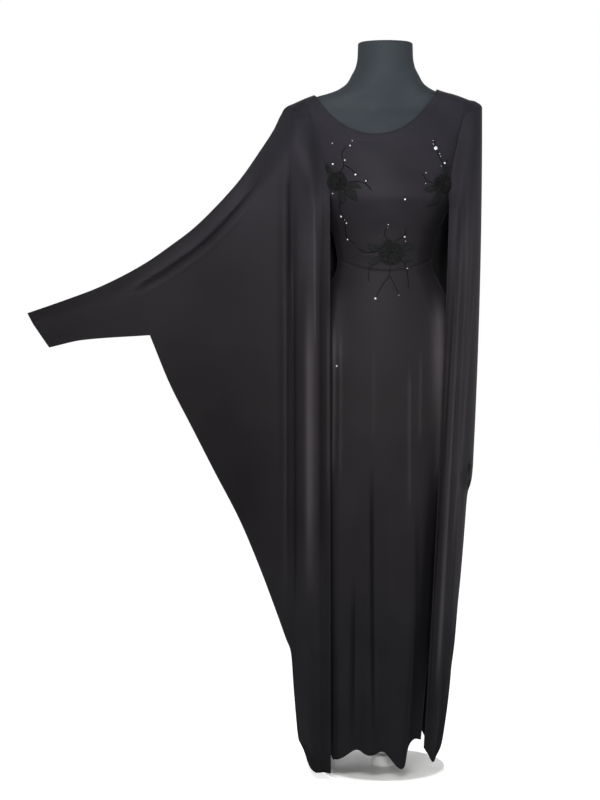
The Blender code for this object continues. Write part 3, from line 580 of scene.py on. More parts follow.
# The studio
ROOM = (-0.30, 0.55, 0.12, 1.0)  # from dim in front of the form to white behind it
FLOOR_FADE, FLOOR_GLOW, FLOOR_WHITE, FLOOR_RADIUS, FLOOR_SIDES = (1.5, 8.5), 0.60, 0.90, 9.0, 96
CAMERA_PLACE, CAMERA_TARGET, LENS, SENSOR = (-0.175, -4.0, 1.083), (-0.175, 0.0, 0.78), 86.79, 36.0
LIGHTS = [
    # name, place, target, width and height, watts, beam in degrees
    ("front_light", (-0.45, -1.90, 2.20), (-0.10, 0.0, 1.05), (1.0, 0.5), 10.5, 80),
    ("low_fill", (0.15, -3.60, 1.20), (0.10, 0.0, 0.90), (0.5, 0.5), 6.5, 60),
    ("left_strip", (-1.10, -1.90, 1.30), (-0.15, 0.0, 0.95), (0.12, 1.6), 5, 120),
    ("right_strip", (1.90, -0.90, 1.30), (0.10, 0.0, 0.95), (0.15, 1.6), 5, 120),
]


def curve(table, column, at):
    """A table's column as a smooth curve that never overshoots its rows."""
    rows = np.array(table, float)
    knots, values = rows[:, 0], rows[:, column]
    if knots[0] > knots[-1]:
        knots, values = knots[::-1], values[::-1]
    secants = np.diff(values) / np.diff(knots)
    before, after = secants[:-1], secants[1:]
    same = before * after > 0
    total = np.where(same, before + after, 1.0)
    inner = np.where(same, 2 * before * after / total, 0.0)
    slopes = np.concatenate([secants[:1], inner, secants[-1:]])
    at = np.clip(at, knots[0], knots[-1])
    cell = np.clip(np.searchsorted(knots, at) - 1, 0, len(knots) - 2)
    step = np.diff(knots)[cell]
    t = (at - knots[cell]) / step
    ends = values[cell] * (1 + 2 * t) * (1 - t) ** 2 + values[cell + 1] * t * t * (3 - 2 * t)
    return ends + step * t * (1 - t) * (slopes[cell] * (1 - t) - slopes[cell + 1] * t)


def soft_step(t):
    """A smooth rise from 0 to 1 while t goes from 0 to 1."""
    t = np.clip(t, 0, 1)
    return t * t * (3 - 2 * t)


def bell(t):
    """A bell curve: 1 in the middle, nearly 0 from t = 2."""
    return np.exp(-t * t)


def bells(off, rows):
    """Bells beside each other, added up. Each has one width above its middle and one below."""
    return sum(
        height * bell((off - middle) / np.where(off < middle, above, below))
        for middle, above, below, height in rows
    )


def bust(x, height, bridged):
    """Two round bells on the chest. Cloth bridges them in the middle."""
    off = np.abs(x) - BUST_REACH
    if bridged:
        off = np.maximum(off, 0)
    return BUST_RISE * bell(off / BUST_WIDTH) * bell((height - BUST_HEIGHT) / BUST_WIDTH)


def body_half(height):
    """Half width of the cloth on the body: the form's and the ease."""
    return curve(FORM, HALF, height - LIFT) + curve(EASE, 1, height)


def body_depth(x, height, side):
    """Depth of the cloth on the body: an ellipse at each height, and the bust."""
    column = DEEP_FRONT if side == FRONT else DEEP_BACK
    deep = curve(FORM, column, height - LIFT) + curve(EASE, 1, height)
    if side == FRONT:
        deep = deep + bust(x, height, True)
    return deep * np.sqrt(np.clip(1 - (x / body_half(height)) ** 2, 0, 1))


def ridge(reach):
    """Height of the shoulder seam."""
    heights = np.linspace(SHOULDER_TIP, FORM[-1][HEIGHT], RIDGE_POINTS)
    return np.interp(reach, body_half(heights + LIFT)[::-1], (heights + LIFT)[::-1])


def seam_ends(wing):
    """Lower and upper end of the straight seam between the bodice and a wing."""
    return [wing["seam_low"], (SEAM_TOP, float(ridge(SEAM_TOP)))]


def seam_height(wing, reach):
    """Height of that seam at a reach."""
    reaches, heights = zip(*seam_ends(wing))
    return np.interp(reach, reaches, heights)


def seam_reach(wing, height):
    """Reach of that seam at a height."""
    reaches, heights = zip(*seam_ends(wing))
    return np.interp(height, heights, reaches)


def top_height(wing, reach):
    """A wing's upper outline: the seam, the shoulder seam, then its closed top edge."""
    head_top = float(ridge(EDGE_START)) + wing["head"]
    edge = curve([(EDGE_START, head_top)] + wing["top"], 1, reach)
    head = wing["head"] * bell((reach - EDGE_START) / HEAD_WIDTH)
    head = head * soft_step((reach - SEAM_TOP) / HEAD_WIDTH)
    shoulder = np.where(reach > SEAM_TOP, ridge(reach) + head, seam_height(wing, reach))
    return np.where(reach > EDGE_START, edge, shoulder)


def spread(rows, count, power):
    """Count sections along a stretch, smoothly between its rows, closer at its start."""
    numbered = [(i, *row) for i, row in enumerate(rows)]
    at = (len(rows) - 1) * np.linspace(0, 1, count) ** power
    return np.stack([curve(numbered, k + 1, at) for k in range(len(rows[0]))], axis=1)


def wing_sections(wing, side):
    """Reach and height of each section's upper and lower end, from wrist or mouth inwards."""
    powers = [1.0] * (len(wing["sections"]) - 1) + [SEAM_POWER]
    stretches = zip(wing["sections"], wing["columns"][side], powers)
    parts = [spread(rows, count, power) for rows, count, power in stretches]
    rows = np.concatenate([parts[0]] + [part[1:] for part in parts[1:]])
    return rows[:, 0], top_height(wing, rows[:, 0]), rows[:, 1], rows[:, 2]


def distance(x, z, line):
    """Distance of points to a line of straight stretches."""
    best = np.full(np.shape(x), np.inf)
    for (ax, az), (bx, bz) in zip(line[:-1], line[1:]):
        dx, dz = bx - ax, bz - az
        t = np.clip(((x - ax) * dx + (z - az) * dz) / (dx * dx + dz * dz), 0, 1)
        best = np.minimum(best, np.hypot(x - ax - t * dx, z - az - t * dz))
    return best


def bowed(wing, reach, share):
    """Reach of a section that bows outwards, by a parabola along it."""
    return reach + wing["bow"] * 4 * share * (1 - share)


def closed_edges(wing):
    """The top edge and the side edge, where a wing's two layers are joined."""
    first = wing["sections"][0][0]
    tops = np.linspace(SEAM_TOP, first[0], TOP_POINTS)
    top = list(zip(tops, top_height(wing, tops)))
    top.insert(0, (TOP_START, float(ridge(TOP_START))))
    if wing["bow"]:
        share = np.linspace(1, 0, TOP_POINTS)[1:]
        reach = bowed(wing, first[1] + (first[0] - first[1]) * share, share)
        height = first[2] + (top_height(wing, first[0]) - first[2]) * share
        top += list(zip(reach, height))
    side = lower_line(wing, 0)
    return top, [point for point in side if point[0] >= wing["closed_from"]]


def lower_line(wing, first):
    """A wing's lower outline from one of its stretches on, as close points."""
    line = []
    for rows in wing["sections"][first:]:
        stretch = spread(rows, POINTS_PER_ROW * (len(rows) - 1) + 1, 1.0)
        line += [(reach, height) for _, reach, height in stretch[bool(line):]]
    return line


def open_edges(wing):
    """The hem and the free edge beside the skirt, and the mouth of the sleeve."""
    hem = [point for point in lower_line(wing, 1) if point[0] < wing["closed_from"]]
    sleeve, last = wing["sections"][0][0], wing["sections"][0][-1]
    mouth = [sleeve[1:], (sleeve[0], float(top_height(wing, sleeve[0])))]
    if wing["bow"]:
        mouth = [sleeve[1:], last[1:]]
    return hem + [wing["seam_low"]], mouth


def inner_edge(wing, height):
    """Reach of the wing's free edge, or of its seam above that."""
    low = wing["sections"][-1][-1]
    seam, seam_base = wing["seam_low"]
    free = np.interp(height, (low[2], seam_base), (low[1], seam))
    return np.where(height > seam_base, seam_reach(wing, height), free)


def creases(rows, column, across, height):
    """Narrow ridges and troughs along straight lines: a bell across each, wider on one side of
    it than on the other, faded out at both ends. Their rise, or their painted light and shade, is
    added up."""
    total = np.zeros(np.broadcast(across, height).shape)
    for row in rows:
        high_x, high_z, low_x, low_z, inward, outward = row[:RISE]
        middle = low_x + (high_x - low_x) * (height - low_z) / (high_z - low_z)
        off = across - middle
        inner = off * np.sign(high_x) < 0
        shown = soft_step((high_z - height) / row[FADE]) * soft_step((height - low_z) / row[FADE])
        total = total + row[column] * shown * bell(off / np.where(inner, inward, outward))
    return total


def sleeve_line(reach, from_top):
    """Distance below the sharp crease's own line, and how much of the crease shows."""
    off = from_top - np.interp(reach, SLEEVE_REACH, SLEEVE_OFF)
    shown = soft_step((reach - SLEEVE_FROM) / SLEEVE_FADE)
    return off, shown * soft_step((SLEEVE_TO - reach) / SLEEVE_FADE)


def hanging(wing, side, reach, height, from_top):
    """Depth of a wing that hangs free: it thins from its inner edge to the wrist, and its folds
    and creases are added, all of them bells across their lines."""
    inner, outer = (curve(HANG[side], column, height) for column in (1, 2))
    start = inner_edge(wing, height)
    across = np.clip((reach - start) / (SHOULDER_END - start), 0, 1)
    hang = inner + (outer - inner) * across
    beyond = np.clip((reach - SHOULDER_END) / (WRIST_REACH - SHOULDER_END), 0, 1) ** THINNING
    hang = hang + (WRIST_DEPTH - hang) * beyond
    for high, low, width, rise, top in wing["folds"] if side == FRONT else BACK_FOLDS:
        middle = np.interp(height, (FOLD_FOOT, FOLD_TOP), (low, high))
        grown = soft_step((top - height) / FOLD_GROW)
        hang = hang + rise * grown * bell((reach - middle) / width)
    if wing["crease"] and side == FRONT:
        along = (reach - CREASE_FROM) / (CREASE_TO - CREASE_FROM)
        shown = soft_step(CREASE_FADE * along) * soft_step(CREASE_FADE * (1 - along))
        hang = hang + CREASE_RISE * shown * bell((from_top - CREASE_OFF) / CREASE_WIDTH)
        off, shown = sleeve_line(reach, from_top)
        hang = hang + shown * bells(off, SLEEVE_RISES)
    return hang + creases(CREASES[f"wing_{wing['name']}", side], RISE, reach, height)


def wing_depth(wing, side, reach, height):
    """Depth of a wing: it lies on the body at its seam, hangs free below and beyond it, and
    comes down to the plane y = 0 at its closed edges."""
    from_top, from_side = (
        np.maximum(distance(reach, height, edge) - EDGE_SLACK, 0) for edge in closed_edges(wing)
    )
    base, more = wing["side_ease"]
    side_ease = base + more * soft_step(height / FULL_HEIGHT)
    t = np.clip(np.minimum(from_top / wing["top_ease"], from_side / side_ease), 0, 1)
    closing = (t * (2 - t)) ** wing["roundness"]
    seam = seam_ends(wing)
    seam_at = np.clip(height, seam[0][1], seam[1][1])
    sewn = body_depth(seam_reach(wing, seam_at), seam_at, side)
    leaving = soft_step(distance(reach, height, seam) / LEAVE)
    hang = hanging(wing, side, reach, height, from_top)
    hang = (sewn + (hang - sewn) * leaving) * closing
    mouth_reach, mouth_height, opened, mouth_width = wing["mouth"]
    from_mouth = np.hypot(reach - mouth_reach, height - mouth_height)
    hang = hang + opened * bell(from_mouth / mouth_width)
    over = soft_step((wing["seam_low"][1] + CORNER_CUT - height) / CORNER_CUT)
    body = body_depth(reach, height, side)
    body = body + OVERLAY * over * (body > 0)
    soft = SOFTEN * closing * leaving
    return 0.5 * (body + hang + np.sqrt((body - hang) ** 2 + soft**2))


def wing_grid(hand, side):
    """One layer of a wing: sections run from the lower outline up to the upper one. Its painted
    light and shade along the creases, and the distance to its open edges, go with it."""
    wing = WINGS[hand]
    top_reach, top, low_reach, low = (a[:, None] for a in wing_sections(wing, side))
    rows = np.linspace(0, 1, wing["rows"][side])
    share = 1 - (1 - rows)[None, :] ** ROW_POWER
    reach = bowed(wing, low_reach + (top_reach - low_reach) * share, share)
    height = low + (top - low) * share
    # Painted highlights and painted shade along the wing's creases
    painted_light = creases(CREASES[f"wing_{wing['name']}", side], PAINTED_LIGHT, reach, height)
    # Painted highlight on the roll above the sleeve's sharp crease, painted shade in the crease
    # itself
    if wing["crease"] and side == FRONT:
        off, shown = sleeve_line(reach, distance(reach, height, closed_edges(wing)[0]))
        painted_light = painted_light + shown * bells(off, SLEEVE_PAINTED_LIGHT)
    hem = np.minimum(*(distance(reach, height, line) for line in open_edges(wing)))
    inwards = soft_step((SEAM_TOP - top_reach) / (SEAM_TOP - wing["seam_low"][0]))
    reach = reach - wing["nip"][side] * inwards * bell((height - NIP_HEIGHT) / NIP_WIDTH)
    depth = wing_depth(wing, side, reach, height)
    inset = INSET * np.minimum(depth / THIN_DEPTH, 1)
    return np.stack([hand * reach, side * (depth + inset), height], axis=2), painted_light, hem


def neckline(x, side):
    """Height of the neckline: a power of the distance from its lowest point."""
    t = np.abs((x - NECK_MIDDLE) / NECK_HALF)
    low, ends = NECK_LOW[side], np.where(x < NECK_MIDDLE, *NECK_ENDS[side])
    return np.where(t < 1, low + (ends - low) * t**NECK_POWER, np.inf)


def bodice_edge(hand, height):
    """Reach of the bodice's edge: side seam, armhole, then the seam with the wing."""
    wing = WINGS[hand]
    side_seam = body_half(height)
    corner, corner_height = wing["seam_low"]
    rising = soft_step((height - ARMHOLE) / (corner_height - CORNER_CUT - ARMHOLE))
    below = side_seam + (corner - side_seam) * rising
    return np.where(height > corner_height, seam_reach(wing, height), below)


def bodice_x(c, height):
    """X of a column c, from -1 to 1, bunched at the sides where the section turns back."""
    turn = np.pi / 2 * (1 - (1 - SHOULDER_TURN) * soft_step((height - ARMHOLE) / TURN_RUN))
    edge = np.where(c < 0, bodice_edge(LEFT, height), bodice_edge(RIGHT, height))
    return edge * np.sin(c * turn) / np.sin(turn)


def waist(x):
    """Height of the waist seam, a parabola that rises to the sides."""
    return WAIST_LOW + WAIST_RISE * (x / WAIST_HALF) ** 2


def wave(x, height, row, phase=0):
    """A sine wave whose crests run slantwise over the cloth."""
    rise, sideways, upwards, length = row
    return rise * np.sin(2 * np.pi * (sideways * x + upwards * height) / length + phase)


def bodice_drags(x, height, side):
    """Soft drag lines of the fitted cloth: flat waves that slant from the bust and the armholes
    to the waist, a few level ones just above the waist seam, and long ones over the chest."""
    low = soft_step((DRAG_TOP - height) / DRAG_FADE) * soft_step((height - DRAG_FOOT) / FOOT_FADE)
    slanted = wave(np.abs(x), height - DRAG_START, DRAGS[0], DRAG_PHASE * side)
    level = wave(x, height, DRAGS[1]) * bell((height - LEVEL_HEIGHT) / LEVEL_WIDTH)
    chest = wave(x, height, DRAGS[2]) * soft_step((NECK_START - height) / DRAG_FADE)
    return low * (slanted + level) + chest


def bodice_grid(side, columns, rows):
    """The bodice, from the waist seam to the neckline and the shoulder seams. Its outer columns
    are the seam allowances under the wings."""
    c = np.linspace(-1, 1, columns)
    top, low = np.full(c.shape, NECK_START), np.full(c.shape, WAIST_LOW)
    for _ in range(NECK_ROUNDS):
        x = bodice_x(c, top)
        top = 0.5 * top + 0.5 * np.minimum(ridge(np.abs(x)), neckline(x, side))
        low = waist(bodice_x(c, low))
    height = low[:, None] + (top - low)[:, None] * np.linspace(0, 1, rows)[None, :]
    x = bodice_x(c[:, None], height)
    depth = body_depth(x, height, side)
    held = np.minimum(depth / HELD_DEPTH, 1)
    depth = depth + held * (INSET + bodice_drags(x, height, side))
    across = np.linspace(NECK_MIDDLE - NECK_HALF, NECK_MIDDLE + NECK_HALF, NECK_POINTS)[1:-1]
    hem = distance(x, height, list(zip(across, neckline(across, side))))
    # Painted light on the front bodice: lighter above the bust line, painted shade below it
    painted_lighting = soft_step((height - BUST_LINE) / BUST_BLUR) - BUST_PAINTED_SHADE
    painted_light = BUST_PAINTED_LIGHT * painted_lighting * (side == FRONT)
    return np.stack([x, side * depth, height], axis=2), painted_light, hem


def skirt_folds(degrees, height):
    """How far the folds stand out, and how far they bring the hem down."""
    fold, drop = np.zeros(np.shape(height)), np.zeros(np.shape(degrees))
    for middle, width, rise, top, lowered in SKIRT_FOLDS:
        off = (degrees - middle + 180) % 360 - 180
        fold = fold + rise * bell(off / width) * soft_step((top - height) / FOLD_RUN)
        drop = drop + lowered * bell(off / (DROP_WIDTH * width))
    for middle, width, lowered in HEM_DROPS:
        drop = drop + lowered * bell((degrees - middle) / width)
    return fold, drop


def skirt_grid(side, columns, rows):
    """The skirt, an ellipse at each height with folds that grow downwards."""
    angle = np.linspace(np.pi, 0, columns)[:, None]
    degrees = np.degrees(angle) if side == FRONT else 360 - np.degrees(angle)
    hem = SKIRT_HEM - skirt_folds(degrees, np.zeros_like(degrees))[1]
    top = waist(WAIST_HALF * np.cos(angle))
    height = top + (hem - top) * np.linspace(0, 1, rows)[None, :]
    height = height[:, ::-1]
    leaving = soft_step((WAIST_LOW - height) / SKIRT_JOIN)
    deep_column = DEEP_FRONT if side == FRONT else DEEP_BACK
    ease = curve(EASE, 1, height)
    half = body_half(height) * (1 - leaving) + curve(SKIRT, 2, height) * leaving
    deep = curve(FORM, deep_column, height - LIFT) + ease
    deep = deep * (1 - leaving) + curve(SKIRT, deep_column + 1, height) * leaving
    middle = curve(SKIRT, 1, height) * leaving
    across, out = np.cos(angle) / half, np.sin(angle) / deep
    base_x = middle + half * np.cos(angle)
    crease = creases(CREASES["skirt", side], RISE, base_x, height) * np.sin(angle) ** SIDE_FADE
    fold = skirt_folds(degrees, height)[0] + INSET + crease
    fold = fold / np.hypot(across, out)
    x = base_x + fold * across
    depth = deep * np.sin(angle) + fold * out
    # Painted highlights and painted shade along the skirt's creases
    painted_light = creases(CREASES["skirt", side], PAINTED_LIGHT, base_x, height)
    return np.stack([x, side * np.maximum(depth, 0), height], axis=2), painted_light, height - hem


def sheet_faces(columns, rows, flipped):
    """Quads between the points of a grid, column by column."""
    i, j = np.meshgrid(np.arange(columns - 1), np.arange(rows - 1), indexing="ij")
    first = (i * rows + j).ravel()
    quads = np.stack([first, first + 1, first + rows + 1, first + rows], axis=1)
    return quads[:, ::-1] if flipped else quads


def arc(points, axis):
    """Length along a grid's lines, in metres, from their middle."""
    steps = np.linalg.norm(np.diff(points, axis=axis), axis=2)
    length = np.cumsum(steps, axis=axis)
    pad = [(0, 0), (0, 0)]
    pad[axis] = (1, 0)
    length = np.pad(length, pad)
    return length - np.take(length, [length.shape[axis] // 2], axis=axis)


def add_object(name, data):
    """A new object of the scene."""
    thing = bpy.data.objects.new(name, data)
    bpy.context.scene.collection.objects.link(thing)
    return thing


def add_piece(name, points, faces, finish, uv=None, values=None):
    """A mesh piece at the origin that rides on the one body, with its own values at the points."""
    mesh = bpy.data.meshes.new(name)
    mesh.from_pydata(points.reshape(-1, 3).tolist(), [], faces.tolist())
    if uv is not None:
        corners = np.empty(len(mesh.loops), np.int32)
        mesh.loops.foreach_get("vertex_index", corners)
        layer = mesh.uv_layers.new(name="cut")
        layer.data.foreach_set("uv", uv.reshape(-1, 2)[corners].astype(np.float32).ravel())
    for key, value in (values or {}).items():
        layer = mesh.attributes.new(key, "FLOAT", "POINT")
        layer.data.foreach_set("value", np.asarray(value, np.float32).ravel())
    mesh.materials.append(finish)
    mesh.shade_smooth()
    piece = add_object(name, mesh)
    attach(piece, "root")
    return piece


def thicken(piece, thickness):
    """Gives a surface its wall, outwards."""
    wall = piece.modifiers.new("wall", "SOLIDIFY")
    wall.thickness, wall.offset = thickness, 1
    return wall


def weld(piece):
    """Merges the points at the poles and turns all faces outwards."""
    shape = bmesh.new()
    shape.from_mesh(piece.data)
    bmesh.ops.remove_doubles(shape, verts=shape.verts, dist=TOUCHING)
    bmesh.ops.dissolve_degenerate(shape, edges=shape.edges, dist=SLIVER)
    bmesh.ops.recalc_face_normals(shape, faces=shape.faces)
    shape.to_mesh(piece.data)
    shape.free()
    piece.data.shade_smooth()


def add_cloth(node, made, flipped, finish):
    """A thin shell on its solid's form: the grid, thickened outwards."""
    grid, painted_light, hem = made
    uv = np.stack([arc(grid, 0), arc(grid, 1)], axis=2)
    # The painted highlights and painted shade go with the cloth as a value at each point
    values = {"painted_light": painted_light, "hem": np.broadcast_to(hem, painted_light.shape)}
    faces = sheet_faces(*grid.shape[:2], flipped)
    piece = add_piece(node + "_cloth", grid, faces, finish, uv, values)
    thicken(piece, WALL).use_quality_normals = True
    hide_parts(node)
    return piece


def make_kaftan(jersey):
    """The eight sheets of jersey, and the outer face of the front ones."""
    sheets, faces = [], []
    for side, word in ((FRONT, "front"), (BACK, "back")):
        front = side == FRONT
        layers = [
            (f"bodice_{word}", bodice_grid(side, *BODICE_GRID[side]), front),
            (f"skirt_{word}", skirt_grid(side, *SKIRT_GRID[side]), front),
        ]
        for hand, wing in WINGS.items():
            flipped = front == (hand == LEFT)
            layers.append((f"wing_{wing['name']}_{word}", wing_grid(hand, side), flipped))
        for node, made, flipped in layers:
            sheets.append(add_cloth(node, made, flipped, jersey))
            faces += [(made[0], flipped)] if front else []
    return sheets, Surface(faces)


def wheel_faces(steps, rows):
    """Quads between profiles that stand round an axis, the last one beside the first."""
    i, j = np.meshgrid(np.arange(steps), np.arange(rows - 1), indexing="ij")
    near, far = (i * rows + j).ravel(), ((i + 1) % steps * rows + j).ravel()
    return np.stack([near, near + 1, far + 1, far], axis=1)


def add_turned(node, profile, finish):
    """A turned piece: radius and height of the profile, carried round the upright axis."""
    radius, height = np.array(profile, float).T
    turn = np.linspace(0, 2 * np.pi, TURNED_STEPS, endpoint=False)[:, None]
    points = np.stack([radius * np.cos(turn), radius * np.sin(turn), height + 0 * turn], axis=2)
    piece = add_piece(node + "_turned", points, wheel_faces(*points.shape[:2]), finish)
    weld(piece)
    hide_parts(node)


def add_form(finish):
    """The torso and neck: an ellipse at each height, with a bust, closed at both ends."""
    angles = np.linspace(0, 2 * np.pi, FORM_STEPS, endpoint=False)[:, None]
    foot, top = FORM[0][HEIGHT], FORM[-1][HEIGHT]
    torso, neck = np.linspace(foot, NECK_FOOT, TORSO_ROWS), np.linspace(NECK_FOOT, top, NECK_ROWS)
    heights = np.concatenate([torso, neck[1:]])[None, :]
    half, front, back = (curve(FORM, k, heights) for k in (HALF, DEEP_FRONT, DEEP_BACK))
    x, out = half * np.cos(angles), np.sin(angles)
    deep = np.where(out > 0, front + bust(x, heights, False), back)
    points = np.stack([x, -deep * out, heights + 0 * x], axis=2)
    ends = [np.zeros_like(points[:, :1]) + (0, 0, height) for height in (foot, top)]
    points = np.concatenate([ends[0], points, ends[1]], axis=1)
    piece = add_piece("form_cover", points, wheel_faces(*points.shape[:2]), finish)
    weld(piece)
    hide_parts("form_torso")


def join(parts):
    """Points and faces of several grids in one list each."""
    points, faces, count = [], [], 0
    for grid, quads in parts:
        points.append(grid.reshape(-1, 3))
        faces.append(quads + count)
        count += grid.size // 3
    return np.concatenate(points), np.concatenate(faces)


class Surface:
    """The outer face of the front's cloth, found along the view from straight in front."""

    def __init__(self, grids):
        parts = [(grid, sheet_faces(*grid.shape[:2], flipped)) for grid, flipped in grids]
        points, quads = join(parts)
        self.tree = BVHTree.FromPolygons(points.tolist(), quads.tolist())

    def at(self, x, z):
        """Points on the cloth's outer face at x and z, and its outward directions there. In the
        narrow gap of a seam the nearest point counts."""
        points, outward = [], []
        for across, height in zip(np.ravel(x), np.ravel(z)):
            hit = self.tree.ray_cast(Vector((across, -1.0, height)), Vector((0, 1, 0)))
            if hit[0] is None:
                hit = self.tree.find_nearest(Vector((across, -SEAM_DEPTH, height)))
            point, normal = hit[:2]
            normal = -normal if normal.y > 0 else normal
            points.append(point + WALL * normal)
            outward.append(normal)
        shape = (*np.shape(x), 3)
        return np.array(points).reshape(shape), np.array(outward).reshape(shape)

    def raised(self, x, z, height):
        """Points that stand this high on the cloth."""
        face, outward = self.at(x, z)
        return face + height[..., None] * outward


def petal(surface, centre, reach, half_width, turn, root, rim, phase):
    """A cupped petal: it widens from its root and rounds off at its tip, rises from root to rim
    and at both sides, and its tip bends back."""
    along = np.sin(np.linspace(*PETAL_ENDS, PETAL_ROWS) * np.pi / 2)[:, None]
    across = np.linspace(-1, 1, PETAL_COLUMNS)[None, :]
    width = half_width * along**0.6 * np.sqrt(1 - along**6)
    out = reach * (PETAL_ROOT + (1 - PETAL_ROOT) * along) + 0 * across
    aside, cos, sin = width * across, np.cos(turn), np.sin(turn)
    x = centre[0] + out * cos - aside * sin
    z = centre[1] + out * sin + aside * cos
    height = root + (rim - root) * along**1.2 + PETAL_CUP * along * across**2
    ripple = PETAL_RIPPLE * np.cos(RIPPLES * np.pi * across + phase) * along
    height = height - PETAL_BEND * along**8 + ripple
    points = surface.raised(x, z, PETAL_ROOM + height)
    return points, sheet_faces(PETAL_ROWS, PETAL_COLUMNS, True)


def add_flower(surface, row, finish):
    """Rings of petals over each other, on the cloth's own points moved out."""
    name, x, z, radius, count, degrees = row
    parts = []
    for share, fewer, turned, root, rim in RINGS:
        petals = count - fewer
        for k in range(petals):
            uneven = k + UNEVEN_TURN * np.sin(5 * k)
            turn = np.radians(degrees + turned) + 2 * np.pi * uneven / petals
            reach = radius * share * (1 - UNEVEN_REACH + UNEVEN_REACH * np.cos(3 * k + degrees))
            width = PETAL_OVERLAP * reach * np.sin(np.pi / petals)
            lift = PETAL_LIFT * (k % 2)
            parts.append(petal(surface, (x, z), reach, width, turn, root + lift, rim + lift, k))
    piece = add_piece(name + "_petals", *join(parts), finish)
    thicken(piece, PETAL_CLOTH)
    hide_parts(name)
    return piece


def add_leaves(surface, finish):
    """Pointed leaves with a sunk middle vein, on the cloth's points moved out."""
    along = np.linspace(*LEAF_ENDS, LEAF_ROWS)[:, None]
    across = np.linspace(-1, 1, PETAL_COLUMNS)[None, :]
    faces = sheet_faces(LEAF_ROWS, PETAL_COLUMNS, True)
    middle = np.sin(np.pi * along)
    height = LEAF_ROOM + LEAF_FOLD * np.abs(across) * middle + LEAF_TIP * along
    parts = []
    for root_x, root_z, tip_x, tip_z, half_width in LEAVES:
        dx, dz = tip_x - root_x, tip_z - root_z
        length = np.hypot(dx, dz)
        width = half_width * np.sin(np.pi * along**0.8) ** 0.8 + LEAF_EDGE
        aside = width * across + LEAF_BEND * length * middle
        x = root_x + dx * along - dz / length * aside
        z = root_z + dz * along + dx / length * aside
        parts.append((surface.raised(x, z, PETAL_ROOM + height), faces))
    piece = add_piece("leaves", *join(parts), finish)
    thicken(piece, PETAL_CLOTH)
    return piece


def tube_faces(rings):
    """Quads between rings of SIDES points that follow each other."""
    i, j = np.meshgrid(np.arange(rings - 1), np.arange(SIDES), indexing="ij")
    near, far, after = i * SIDES, (i + 1) * SIDES, (j + 1) % SIDES
    return np.stack([near + j, near + after, far + after, far + j], axis=2).reshape(-1, 4)


def ring(aside, up):
    """SIDES points of a circle between two directions."""
    turn = np.linspace(0, 2 * np.pi, SIDES, endpoint=False)[:, None]
    return np.cos(turn) * aside + np.sin(turn) * up


def add_stems(surface, finish):
    """Embroidered lines: a round profile carried along a smooth path on the cloth."""
    parts = []
    for places in STEMS:
        rows = [(i, *place) for i, place in enumerate(places)]
        steps = STEM_STEPS * (len(rows) - 1) + 1
        at = np.linspace(0, len(rows) - 1, steps)
        path, outward = surface.at(curve(rows, 1, at), curve(rows, 2, at))
        path = path + (STEM_ROOM + STEM_RADIUS) * outward
        aside = np.cross(np.gradient(path, axis=0), outward)
        aside /= np.linalg.norm(aside, axis=1)[:, None]
        thin = np.clip(1 - np.linspace(-1, 1, steps) ** 8, STEM_TIP, 1)
        thick = STEM_RADIUS * np.sqrt(thin)[:, None, None]
        points = path[:, None] + thick * ring(aside[:, None], outward[:, None])
        ends = [np.repeat(path[[k], None], SIDES, axis=1) for k in (0, -1)]
        points = np.concatenate([ends[0], points, ends[1]])
        parts.append((points, tube_faces(len(points))))
    piece = add_piece("embroidered_stems", *join(parts), finish)
    weld(piece)
    return piece


def add_beads(name, surface, table, finish):
    """Faceted beads: a low ball with a flat foot, a few dozen faces each."""
    wide, high = np.array(BEAD_PROFILE).T[:, :, None, None]
    parts = []
    for x, z, radius in table:
        face, outward = surface.at([x], [z])
        up = outward[0]
        aside = np.cross(up, (0, 0, 1))
        aside /= np.linalg.norm(aside)
        rise = radius * high + BEAD_FOOT * radius + BEAD_ROOM
        points = face[0] + radius * wide * ring(aside, np.cross(up, aside)) + rise * up
        parts.append((points, tube_faces(len(BEAD_PROFILE))))
    piece = add_piece(name, *join(parts), finish)
    weld(piece)
    piece.data.shade_flat()
    return piece


def feed(tree, node, inputs):
    """Gives each named input its value, or a link where the value is another node's output."""
    for key, value in inputs.items():
        if isinstance(value, bpy.types.NodeSocket):
            tree.links.new(value, node.inputs[key])
        else:
            node.inputs[key].default_value = value


def add_node(tree, kind, output, inputs=None, **settings):
    """One output of a new shader node, with the node's settings and inputs."""
    node = tree.nodes.new("ShaderNode" + kind)
    for key, value in settings.items():
        setattr(node, key, value)
    feed(tree, node, inputs or {})
    return node.outputs[output]


def map_range(tree, value, start, end, low, high, way="LINEAR"):
    """A change from low to high while the value goes from start to end."""
    ends = {"Value": value, "From Min": start, "From Max": end, "To Min": low, "To Max": high}
    return add_node(tree, "MapRange", "Result", ends, interpolation_type=way)


def add_noise(tree, place, scale, detail):
    """Soft clouds that differ from place to place."""
    return add_node(tree, "TexNoise", "Fac", {"Vector": place, "Scale": scale, "Detail": detail})


def add_ramp(tree, value, stops):
    """A colour that follows a value from stop to stop: a place from 0 to 1, then the colour."""
    ramp = tree.nodes.new("ShaderNodeValToRGB")
    tree.links.new(value, ramp.inputs["Fac"])
    points = ramp.color_ramp.elements
    for _ in stops[2:]:
        points.new(0.5)
    for point, (place, *colour) in zip(points, stops):
        point.position, point.color = place, (*colour, 1)
    return ramp.outputs["Color"]


def new_material(name, colour, roughness):
    """A material with its node tree and its shader."""
    made = bpy.data.materials.new(name)
    made.use_nodes = True
    tree = made.node_tree
    shader = tree.nodes["Principled BSDF"]
    feed(tree, shader, {"Base Color": (*colour, 1), "Roughness": roughness})
    return made, tree, shader


